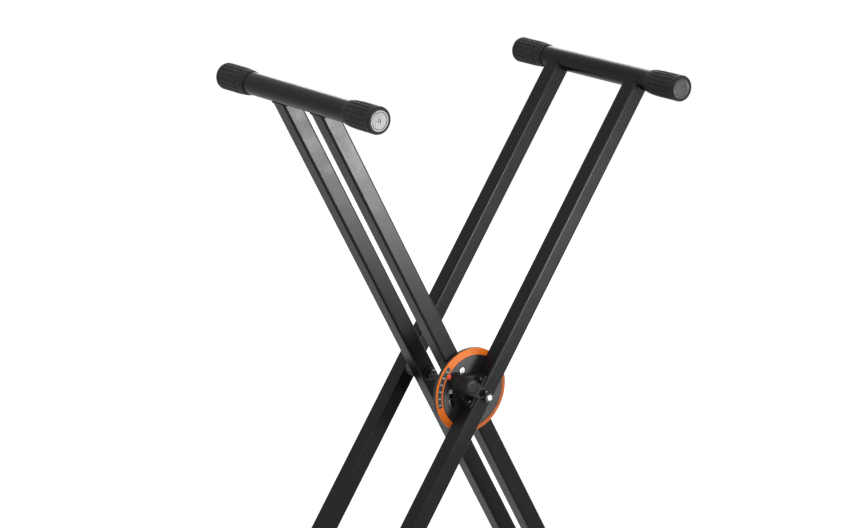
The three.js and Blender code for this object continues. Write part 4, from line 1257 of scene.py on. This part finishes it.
@dataclass
class Drum:
    """The angle drum on the inner frame: housing, slotted cover, orange ring, scale and rod."""

    slot_half: float = 4.5
    slot_start: float = BARREL_TRACK - 8.6
    slot_end: float = BARREL_TRACK + 56.6
    screw_angles: tuple[float, float] = (90.0, 270.0)
    bore: float = 4.3  # for the pivot bolt
    hub_radius: float = 11.0
    rear_wall: float = 1.5
    skirt_wall: float = 2.0  # behind the orange ring
    rim_wall: float = 3.0  # behind the cover's edge
    boss_radius: float = 5.5
    boss_bore: float = 2.8
    recess_radius: float = 4.9  # round a screw's head
    recess_depth: float = 1.4
    cover_wall: float = 1.8
    groove: float = 0.6  # between the cover and the ring
    ring_edge: float = 1.6  # the ring's outer wall
    ring_wall: float = 2.0  # the ring's back face
    ring_lip: float = 2.4  # the ring's inner wall
    pocket_depth: float = 0.8
    film_back: float = 0.5
    film_sink: float = 0.04  # how far the film lies below the ring's face
    rod_start: float = 96.3
    rod_end: float = 221.0
    anchor_half: float = 3.0
    label_margin: float = 1.5  # from the label to the ring's edges
    label_start: float = BARREL_TRACK - 11.5
    label_end: float = BARREL_TRACK + 49.5
    label_corner: float = 0.8
    tick_margin: float = 0.7
    tick_step: float = 2.0
    number_size: float = 2.9
    number_start: float = 6.5  # the first number's angle from the label's start
    number_step: float = 10.0
    number_depth: float = 0.03

    def __post_init__(self) -> None:
        """Takes the drum's depths and radii from the frame."""
        self.rear = depths("drum_housing")[0]
        self.face = depths("drum_cover")[1]
        self.ring_back = depths("scale_ring")[0]
        self.radius, self.cover_radius = (
            (high.x - low.x) / 2 / MM for low, high in map(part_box, ("scale_ring", "drum_cover"))
        )
        self.ring_inner = self.cover_radius + self.groove
        self.ring_drop = self.face - self.ring_back - self.ring_edge
        self.label_inner = self.ring_inner + self.label_margin
        self.label_outer = self.radius - self.label_margin
        self.screws = [spot(TRACK_RADIUS, angle) for angle in self.screw_angles]

    def sloped(self, flat: Surface) -> Surface:
        """Lets a flat surface follow the ring's sloping face.

        Args:
            flat: The surface, as it would lie if the ring were flat.

        Returns:
            The same surface, sloped.
        """
        width = self.radius - self.ring_inner
        for point in flat.points:
            share = (math.hypot(point.x, point.z) - self.ring_inner) / width
            point.y += self.ring_drop * share
        return flat

    def band(self, margin: float, low: float, high: float) -> Surface:
        """Makes a band along the scale, with rounded corners.

        Args:
            margin: How far its edges are drawn in.
            low: Depth of its back at the ring's inner edge.
            high: Depth of its face at the ring's inner edge.

        Returns:
            The surface.
        """
        inner, outer = self.label_inner + margin, self.label_outer - margin
        degree = math.radians(1) * (inner + outer) / 2
        start, end = self.label_start + margin / degree, self.label_end - margin / degree
        ends = []
        for step in range(7):
            turn = math.radians(step * 15)
            run = self.label_corner * (1 - math.cos(turn)) / degree
            ends.append((run, self.label_corner * (1 - math.sin(turn))))
        middle = [(start + (end - start) * i / 64, 0.0) for i in range(2, 63)]
        stations = [(start + run, shrink) for run, shrink in ends] + middle
        stations += [(end - run, shrink) for run, shrink in reversed(ends)]
        rings = []
        for angle, shrink in stations:
            (x, z), (u, v) = spot(inner + shrink, angle), spot(outer - shrink, angle)
            rings.append([(x, -low, z), (u, -low, v), (u, -high, v), (x, -high, z)])
        return self.sloped(Surface().loft(rings))

    def slot(self, margin: float) -> Loop:
        """Draws the arc slot.

        Args:
            margin: How far its edge is drawn back into the cover.

        Returns:
            The outline.
        """
        half = self.slot_half + margin
        start, end = (spot(TRACK_RADIUS, angle) for angle in (self.slot_start, self.slot_end))
        return [
            *arc(TRACK_RADIUS + half, self.slot_start, self.slot_end, 48),
            *arc(half, self.slot_end, self.slot_end + 180, 20, *end)[1:-1],
            *arc(TRACK_RADIUS - half, self.slot_end, self.slot_start, 48),
            *arc(half, self.slot_start + 180, self.slot_start + 360, 20, *start)[1:-1],
        ]

    def cover(self) -> None:
        """Makes the cover, with its slot and a recessed seat for each screw."""
        back, floor = self.face - self.cover_wall, self.face - self.recess_depth
        seat = depths("drum_cover")[0]
        recess, bore, radius = self.recess_radius, self.boss_bore, self.boss_radius

        def loops(margin: float) -> list[Loop]:
            """Draws the cover's outline and holes.

            Args:
                margin: How far the edges are drawn in.

            Returns:
                The outline and then the holes.
            """
            recesses = [circle(recess + margin, 40, x, z) for x, z in self.screws]
            outline = circle(self.cover_radius - margin, 180)
            return [outline, self.slot(margin), circle(self.bore + margin, 40), *recesses]

        made = plate(loops, back, self.face, 0.45)
        cup = [
            (bore, seat), (radius, seat), (radius, back), (recess, back), (recess, floor),
            (bore, floor),
        ]
        made.joined(*(turned(cup, 40, bored=True, centre=place) for place in self.screws))
        dress(made.shape("drum_cover_shell", INNER_AXES), DRUM, Body.INNER, "drum_cover")

    def housing(self) -> None:
        """Makes the drum's back, with its skirt, rim, hub, screw bosses and the rod's anchor."""
        sunk, floor = self.rear + 0.7, self.rear + self.rear_wall
        top, seat = depths("drum_housing")[1], depths("drum_cover")[0] - GAP
        rim, skirt_top = self.cover_radius, self.ring_back - GAP
        rim_inner, skirt = rim - self.rim_wall, self.radius - self.skirt_wall
        bore, hub = self.bore, self.hub_radius
        outline = [
            (bore, self.rear), (self.radius, self.rear, 0.5), (self.radius, skirt_top, 0.3),
            (skirt, skirt_top, 0.3), (skirt, floor), (rim, floor), (rim, top, 0.3),
            (rim_inner, top, 0.3), (rim_inner, floor), (hub, floor), (hub, top, 0.3), (bore, top),
        ]
        base = turned(eased(outline), 180, bored=True)
        inner, outer = self.boss_bore, self.boss_radius
        boss = [(inner, sunk), (outer, sunk), (outer, seat), (inner, seat)]
        base.joined(*(turned(boss, 32, bored=True, centre=place) for place in self.screws))

        def anchor(margin: float) -> list[Loop]:
            """Draws the block that holds the rod's far end.

            Args:
                margin: How far its edges are drawn in.

            Returns:
                Its outline.
            """
            half, start, end = self.anchor_half - margin, self.rod_end - 3, self.rod_end + 3
            far = arc(TRACK_RADIUS + half, start, end, 4)
            return [far + arc(TRACK_RADIUS - half, end, start, 4)]

        base.joined(plate(anchor, sunk, top, 0.2))
        shell = base.shape("drum_housing_shell", INNER_AXES)
        dress(shell, DRUM, Body.INNER, "drum_housing")

    def ring(self) -> None:
        """Makes the orange ring: a sloping face with a pocket for the scale."""
        wall, edge = self.radius - self.ring_wall, self.ring_back + self.ring_edge
        outline = [
            (wall, self.ring_back), (self.radius, self.ring_back, 0.3), (self.radius, edge, 0.8),
            (self.ring_inner, self.face, 0.5), (self.ring_inner, self.face - self.ring_lip),
        ]
        made = turned(eased(outline), 240, bored=True).shape("scale_ring_band", INNER_AXES)
        pocket = self.band(0.0, self.face - self.pocket_depth, self.face + 1)
        carve(made, [pocket.shape("pocket", INNER_AXES)])
        dress(made, ORANGE, Body.INNER, "scale_ring")

    def scale(self) -> None:
        """Makes the black scale and its white ticks and numbers."""
        film = self.band(GAP, self.face - self.film_back, self.face - self.film_sink)
        dress(film.shape("scale_label_film", INNER_AXES), LABEL, Body.INNER, "scale_label")
        printed = Surface()
        first = self.label_start + self.number_start
        outer, inner = self.label_outer - self.tick_margin, self.label_inner + self.tick_margin
        for i in range(-2, int((self.label_end - first) / self.tick_step)):
            angle = first + i * self.tick_step
            length, width = (1.1, 0.34) if i % 5 == 0 else (0.7, 0.2)
            printed.joined(
                self.tick(angle, outer - length, length, width),
                self.tick(angle, inner, length, width),
            )
        for i in range(math.ceil((self.label_end - first) / self.number_step)):
            printed.joined(self.number(str(10 * i + 10), first + i * self.number_step))
        made = self.sloped(printed).shape("scale_print", INNER_AXES)
        dress(made, PRINT, Body.INNER, even=False)

    def tick(self, angle: float, start: float, length: float, width: float) -> Surface:
        """Makes one tick of the scale.

        Args:
            angle: Its angle round the drum.
            start: Radius of its inner end.
            length: Its length.
            width: Its width.

        Returns:
            The surface.
        """
        end, half = start + length, width / 2
        corners = [(start, -half), (end, -half), (end, half), (start, half)]
        levels = (self.face - 0.06, self.face)
        rings = [[(x, -depth, z) for x, z in corners] for depth in levels]
        return Surface().loft(rings).moved(Matrix.Rotation(math.radians(-angle), 4, "Y"))

    def number(self, text: str, angle: float) -> Surface:
        """Makes one number of the scale, which reads towards the pivot.

        Args:
            text: The number.
            angle: Its angle round the drum.

        Returns:
            The surface.
        """
        curve = bpy.data.curves.new("number", "FONT")
        curve.body = text
        curve.size = self.number_size
        curve.extrude = self.number_depth
        curve.align_x = "CENTER"
        curve.align_y = "CENTER"
        curve.resolution_u = 3
        holder = bpy.data.objects.new("number", curve)
        mesh = holder.to_mesh()
        made = Surface()
        made.points = [vertex.co.copy() for vertex in mesh.vertices]
        made.faces = [tuple(polygon.vertices) for polygon in mesh.polygons]
        holder.to_mesh_clear()
        bpy.data.objects.remove(holder)
        turn = math.radians(angle)
        out = Vector((math.cos(turn), 0.0, math.sin(turn)))
        middle = (self.label_inner + self.label_outer) / 2
        axes = Matrix((-out, Vector((out.z, 0.0, -out.x)), Vector((0.0, -1.0, 0.0)))).transposed()
        place = out * middle + Vector((0.0, self.number_depth - self.face, 0.0))
        return made.moved(Matrix.Translation(place) @ axes.to_4x4())

    def screw(self, place: Point, node: str) -> None:
        """Makes a pan head screw with a cross recess, sunk in the cover.

        Args:
            place: Its axis in X and Z.
            node: Its CAD node.
        """
        tail, top = depths(node)
        head = top - 1.0
        outline = [
            (2.3, tail), (2.5, tail + 0.8), (2.5, head), (4.4, head, 0.2), (4.4, top - 0.25, 0.5),
            (1.2, top),
        ]
        made = turned(eased(outline, closed=False), 48, centre=place)
        made = made.shape(node + "_steel", INNER_AXES)
        centre = Vector((place[0], -top, place[1]))
        carve(made, cross_cutters(centre, Vector((0.0, -1.0, 0.0)), 2.9, 0.85, INNER_AXES))
        dress(made, ZINC, Body.INNER, node)

    def rod(self) -> None:
        """Makes the curved rod that the clutch grips."""
        back, front = depths("clutch_rod")
        depth = (back + front) / 2
        centre_line = arc(TRACK_RADIUS, self.rod_start, self.rod_end, 110)
        path = [Vector((x, -depth, z)) for x, z in centre_line]
        made = piped(path, (front - back) / 2, 20).shape("clutch_rod_steel", INNER_AXES)
        dress(made, ZINC, Body.INNER, "clutch_rod", even=False)

    def build(self) -> None:
        """Makes every visible piece of the drum."""
        self.housing()
        self.cover()
        self.ring()
        self.scale()
        for place, word in zip(self.screws, ("upper", "lower")):
            self.screw(place, f"{word}_cover_screw")
        self.rod()


# ---------------------------------------------------------------- clutch and lock


@dataclass
class Clutch:
    """The plates that grip the rod, and the spring behind them."""

    count: int = 4
    pitch: float = 1.35
    thickness: float = 1.0
    width: float = 7.3
    fulcrum: float = 33.6  # radius of the plates' inner ends
    angle: float = BARREL_ANGLE + 25.9  # the stack's middle
    tilt: float = 6.0  # from square to the rod, in their gripping place
    bore: float = 1.95
    spring_radius: float = 2.15
    wire_radius: float = 0.35
    turns: int = 3
    spring_end: float = BARREL_ANGLE + 40.2  # the carrier's stop

    def plates(self) -> None:
        """Makes the clutch plates."""
        back, front = depths("clutch_plate_1")
        rod = middle_depth("clutch_rod")

        def loops(margin: float) -> list[Loop]:
            """Draws a plate's outline and bore.

            Args:
                margin: How far the edges are drawn in.

            Returns:
                The outline and then the bore.
            """
            left, right = margin, self.width - margin
            low, high = back + margin, front - margin
            corners = [(left, low, 0.5), (right, low, 0.5), (right, high, 1.1), (left, high, 0.7)]
            bore = circle(self.bore + margin, 32, TRACK_RADIUS - self.fulcrum, rod)
            return [eased(corners), bore]

        x, z = spot(self.fulcrum, self.angle)
        stack = Matrix.Translation((x, 0.0, z))
        stack @= Matrix.Rotation(math.radians(self.tilt - self.angle), 4, "Y")
        for i in range(self.count):
            offset = (i - (self.count - 1) / 2) * self.pitch
            blank = plate(loops, -self.thickness / 2, self.thickness / 2, 0.12, 2)
            blank.moved(Matrix.Rotation(math.pi / 2, 4, "X"))
            blank.moved(stack @ Matrix.Translation((0.0, 0.0, offset)))
            node = f"clutch_plate_{i + 1}"
            # Painted light: the plates take the lighter copy of zinc, not ZINC itself.
            dress(blank.shape(node + "_steel", OUTER_AXES), PAINTED_LIGHT_ZINC, Body.PLATES, node)

    def spring(self) -> None:
        """Makes the coil round the rod."""
        depth = middle_depth("clutch_rod")
        stack = ((self.count - 1) * self.pitch + self.thickness) / 2
        clear = GAP + self.wire_radius
        start = self.angle + math.degrees((stack + clear) / TRACK_RADIUS)
        end = self.spring_end - math.degrees((1 + clear) / TRACK_RADIUS)
        path = []
        steps = self.turns * 28
        for i in range(steps + 1):
            along = math.radians(start + (end - start) * i / steps)
            turn = 2 * math.pi * self.turns * i / steps
            reach = TRACK_RADIUS + self.spring_radius * math.cos(turn)
            y = -depth - self.spring_radius * math.sin(turn)
            path.append(Vector((reach * math.cos(along), y, reach * math.sin(along))))
        coil = piped(path, self.wire_radius, 10).shape("clutch_spring_wire", OUTER_AXES)
        dress(coil, DARK, Body.OUTER, "clutch_spring", even=False)

    def build(self) -> None:
        """Makes the visible pieces of the clutch."""
        self.plates()
        self.spring()


@dataclass
class Lock:
    """The lock housing on the outer arm, its trigger and the red pointer."""

    barrel_radius: float = 11.2
    collar_radius: float = 12.4
    bore: float = 7.5  # for the trigger's shaft and spring
    grid: float = 0.42  # the castings' grid
    hole_radius: float = 4.75  # of the finger hole
    hole_x: float = -15.5
    tip_radius: float = 9.1  # of the wing round the hole
    collar_depth: float = 2.5
    web_rise: float = 4.1
    web_depth: float = 10.0
    wing_depth: float = 6.0
    wing_set: float = 1.0  # how far the wing stands back from the hub's face
    arm_face: float = -12.8  # the saddle's face on the arm
    saddle_face: float = -16.3  # and its far face
    saddle_depth: float = 22.0
    saddle_half: float = 24.0
    screw_rise: float = 17.0  # from the barrel to a screw, along the arm
    screw_head: float = 3.8
    screw_height: float = 2.4

    def __post_init__(self) -> None:
        """Takes the lock's depths from the frame."""
        self.collar_back, self.saddle_front = depths("lock_housing")
        self.lever_back, self.lever_face = depths("trigger_lever")
        self.screw_depth = middle_depth("upper_housing_screw")
        self.pointer_back, self.pointer_front = depths("angle_pointer")

    def housing(self) -> None:
        """Moulds the housing: collar and barrel, web, and the saddle on the arm's side."""
        centre, half = -TRACK_RADIUS, self.saddle_half
        rear, collar_front = self.collar_back, self.collar_back + self.collar_depth
        front, tip = self.lever_back - GAP, self.saddle_front
        saddle_back, web_back = tip - self.saddle_depth, rear + self.web_rise
        cast = Casting((-50, rear, -half), (self.arm_face + 0.3, tip, half), self.grid)
        collar = cast.rod(centre, self.collar_radius, rear, collar_front, 0.7)
        barrel = cast.rod(centre, self.barrel_radius, rear + 0.5, front, 0.6)
        discs = (centre, self.barrel_radius), (-16.0, 20.0)
        web = cast.taper(*discs, web_back, web_back + self.web_depth, 1.6)
        web = np.maximum(web, cast.x + 13.4)
        corners = (self.saddle_face, saddle_back, -half), (self.arm_face, tip, half)
        shape = cast.blend(cast.blend(web, cast.block(*corners, 1.1), 2.6), barrel, 3.4)
        shape = cast.blend(shape, collar, 0.8)
        shape = np.maximum(shape, cast.x - self.arm_face)
        shape = cast.cut(shape, cast.rod(centre, self.bore, collar_front + 2.4, front + 9), 0.5)
        shape = cast.cut(shape, cast.rod(centre, 3.9, rear - 9, front))
        shape = cast.cut(shape, cast.block((-60, rear - 9, -3.5), (-47.0, collar_front, 3.5)))
        for z in (-self.screw_rise, self.screw_rise):
            shape = cast.cut(shape, cast.cross_rod(self.screw_depth, z, 2.3), 0.3)
        made = cast.skin(shape).shape("lock_housing_casting", OUTER_AXES)
        dress(made, LEVER, Body.OUTER, "lock_housing", crease=55.0, even=False)

    def lever(self) -> None:
        """Moulds the trigger: a hub in line with the barrel and a wing with a finger hole."""
        centre = -TRACK_RADIUS
        back, face = self.lever_back, self.lever_face
        wing_front = face - self.wing_set
        wing_back = wing_front - self.wing_depth
        cast = Casting((-49, back, -11.5), (-8, face, 11.5), self.grid)
        hub = cast.rod(centre, self.barrel_radius, back, face, 6.0)
        edge = cast.rod(centre, self.barrel_radius, back, back + 8, 0.5)
        wing = cast.taper((centre, 11.0), (-17.6, self.tip_radius), wing_back, wing_front, 1.6)
        brace = cast.taper((centre, 9.0), (-26.0, 5.0), wing_back - 7.5, wing_back + 2, 1.5)
        shape = np.minimum(cast.blend(hub, wing, 3.0), edge)
        shape = cast.blend(shape, brace, 5.5)
        hole = cast.rod(self.hole_x, self.hole_radius, wing_back - 9, face + 9)
        shape = cast.cut(shape, hole, 0.9)
        shape = cast.cut(shape, cast.rod(centre, self.bore, back - 9, back + 7.7), 0.5)
        shape = cast.cut(shape, cast.rod(centre, 2.3, back - 9, face - 2.3))
        made = cast.skin(shape).shape("trigger_lever_casting", OUTER_AXES)
        dress(made, LEVER, Body.TRIGGER, "trigger_lever", crease=55.0, even=False)

    def pointer(self) -> None:
        """Moulds the pointer: a rounded wedge at the barrel, with its tip on the scale."""
        back, front = self.pointer_back, self.pointer_front
        cast = Casting((47, back, -4), (56, front, 4), 0.2)
        wedge = cast.taper((50.4, 3.2), (53.4, 1.1), back, front, 1.05)
        root = cast.block((47.3, back, -2.9), (50.6, front, 2.9), 0.7)
        made = cast.skin(cast.blend(wedge, root, 1.0)).moved(Matrix.Rotation(math.pi, 4, "Y"))
        made = made.shape("angle_pointer_wedge", OUTER_AXES)
        dress(made, RED, Body.OUTER, "angle_pointer", even=False)

    def screw(self, z: float, node: str) -> None:
        """Makes a pan head screw with a cross recess on the saddle.

        Args:
            z: Its place along the arm.
            node: Its CAD node.
        """
        outline = [
            (1.6, -8.0), (2.0, -7.2), (2.0, GAP), (self.screw_head, GAP, 0.2),
            (self.screw_head, GAP + 1.5, 1.1), (1.2, GAP + self.screw_height),
        ]
        made = turned(eased(outline, closed=False), 48, Side.REAR)
        turn = Matrix.Rotation(math.pi / 2, 4, "Z")
        place = Matrix.Translation((self.saddle_face, -self.screw_depth, z))
        head = made.moved(place @ turn).shape(node + "_steel", OUTER_AXES)
        top = Vector((self.saddle_face - GAP - self.screw_height, -self.screw_depth, z))
        carve(head, cross_cutters(top, Vector((-1.0, 0.0, 0.0)), 2.5, 1.2, OUTER_AXES))
        dress(head, DARK, Body.OUTER, node)

    def build(self) -> None:
        """Makes every visible piece of the lock."""
        self.housing()
        self.lever()
        self.pointer()
        self.screw(self.screw_rise, "upper_housing_screw")
        self.screw(-self.screw_rise, "lower_housing_screw")


@dataclass(frozen=True)
class HiddenParts:
    """The pieces that keep their CAD shape and only take a finish."""

    zinc: tuple[str, ...] = (
        "inner_front_bush", "inner_rear_bush", "outer_front_bush", "outer_rear_bush",
        "trigger_shaft", "release_cam",
    )
    dark: tuple[str, ...] = ("clutch_carrier", "trigger_spring")

    def build(self) -> None:
        """Gives each of them its finish."""
        for names, finish in ((self.zinc, ZINC), (self.dark, DARK)):
            for name in names:
                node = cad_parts[name]
                node.data.materials.clear()
                node.data.materials.append(finish.material())
                LOG.info("%s keeps its CAD shape, %s", name, finish.slot)


# ---------------------------------------------------------------- studio


@dataclass(frozen=True)
class Softbox:
    """A rectangular soft light.

    Attributes:
        name: Its name.
        place: Where it is, in metres.
        aim: The point that it faces.
        size: Its width and height, in metres.
        power: Its power in watts.
        sheen_only: Whether it shows in reflections only.
    """

    name: str
    place: tuple[float, float, float]
    aim: tuple[float, float, float]
    size: Point
    power: float
    sheen_only: bool = False

    def hang(self) -> None:
        """Hangs it in the studio."""
        data = bpy.data.lights.new(self.name, "AREA")
        data.shape = "RECTANGLE"
        data.size, data.size_y = self.size
        data.energy = self.power
        lamp = bpy.data.objects.new(self.name, data)
        lamp.location = self.place
        lamp.rotation_mode = "QUATERNION"
        out = Vector(self.aim) - Vector(self.place)
        lamp.rotation_quaternion = out.to_track_quat("-Z", "Y")
        lamp.visible_camera = False
        lamp.visible_diffuse = not self.sheen_only
        bpy.context.scene.collection.objects.link(lamp)


@dataclass
class Studio:
    """The pale floor, the soft lights and the camera."""

    floor_size: float = 60.0
    floor_colour: Colour = (0.82, 0.82, 0.82)
    floor_glow: float = 0.6  # share of its own light where the floor is seen
    floor_light: float = 1.44
    fill: float = 0.4  # the world's light on the stand
    camera_place: tuple[float, float, float] = (-2.2284, -2.7910, 1.49654)
    camera_ahead: tuple[float, float, float] = (0.60048, 0.76161, -0.24365)
    camera_roll: float = 2.42
    focal_pixels: float = 2687.43
    image_width: float = 864.0
    sensor: float = 36.0
    softboxes: tuple[Softbox, ...] = (
        Softbox("overhead_softbox", (-0.7, -0.9, 3.0), (0.0, 0.0, 0.4), (2.2, 2.2), 55.0),
        Softbox("low_softbox", (0.5, -1.09, 0.58), (-0.25, -0.05, 0.83), (0.36, 0.26), 31.0, True),
        Softbox("rear_softbox", (1.9, 2.1, 1.7), (0.0, 0.0, 0.5), (1.4, 1.4), 30.0),
        Softbox("side_softbox", (-2.2, -1.9, 1.9), (0.0, 0.0, 0.5), (1.4, 1.4), 32.0),
    )

    def floor(self) -> None:
        """Lays the floor, which keeps the stand's shadow."""
        half = self.floor_size / 2
        mesh = bpy.data.meshes.new("floor")
        corners = [(-half, -half, 0), (half, -half, 0), (half, half, 0), (-half, half, 0)]
        mesh.from_pydata(corners, [], [(0, 1, 2, 3)])
        floor = bpy.data.objects.new("floor", mesh)
        bpy.context.scene.collection.objects.link(floor)
        material = bpy.data.materials.new("floor_finish")
        material.use_nodes = True
        graph = Graph(material.node_tree)
        diffuse = graph.add("BsdfDiffuse", {"Color": (*self.floor_colour, 1.0)})
        glow = graph.add("Emission", {"Color": (1.0, 1.0, 1.0, 1.0), "Strength": self.floor_light})
        inputs = {0: graph.backdrop_rays(), 1: self.floor_glow}
        share = graph.add("Math", inputs, operation="MULTIPLY")
        inputs = {0: share.outputs[0], 1: diffuse.outputs[0], 2: glow.outputs[0]}
        mixed = graph.add("MixShader", inputs)
        graph.add("OutputMaterial", {"Surface": mixed.outputs[0]})
        mesh.materials.append(material)

    def world(self) -> None:
        """Makes the world white where it is seen, and a soft fill elsewhere."""
        world = bpy.data.worlds.new("studio")
        bpy.context.scene.world = world
        world.use_nodes = True
        graph = Graph(world.node_tree)
        strength = graph.ranged(graph.backdrop_rays(), 0.0, 1.0, self.fill, 1.0)
        light = graph.add("Background", {"Color": (1.0, 1.0, 1.0, 1.0), "Strength": strength})
        graph.add("OutputWorld", {"Surface": light.outputs[0]})

    def camera(self) -> None:
        """Sets the camera up at the photograph's place and angle."""
        data = bpy.data.cameras.new("camera")
        data.sensor_width = self.sensor
        data.lens = self.focal_pixels * self.sensor / self.image_width
        data.clip_end = 200.0
        camera = bpy.data.objects.new("camera", data)
        camera.location = self.camera_place
        camera.rotation_mode = "QUATERNION"
        level = Vector(self.camera_ahead).to_track_quat("-Z", "Y")
        camera.rotation_quaternion = level @ Quaternion((0, 0, 1), math.radians(self.camera_roll))
        bpy.context.scene.collection.objects.link(camera)
        bpy.context.scene.camera = camera

    def build(self) -> None:
        """Sets up the whole studio."""
        bpy.context.scene.view_settings.view_transform = "Standard"
        self.floor()
        self.world()
        for softbox in self.softboxes:
            softbox.hang()
        self.camera()


def main() -> None:
    """Builds the studio and the stand."""
    logging.basicConfig(level=logging.INFO, format="%(name)s: %(message)s")
    Studio().build()
    TubeFrame("inner", -HALF_ANGLE, Body.INNER).build()
    TubeFrame("outer", HALF_ANGLE, Body.OUTER).build()
    Pivots().build()
    Drum().build()
    Clutch().build()
    Lock().build()
    HiddenParts().build()


if __name__ == "__main__":
    main()
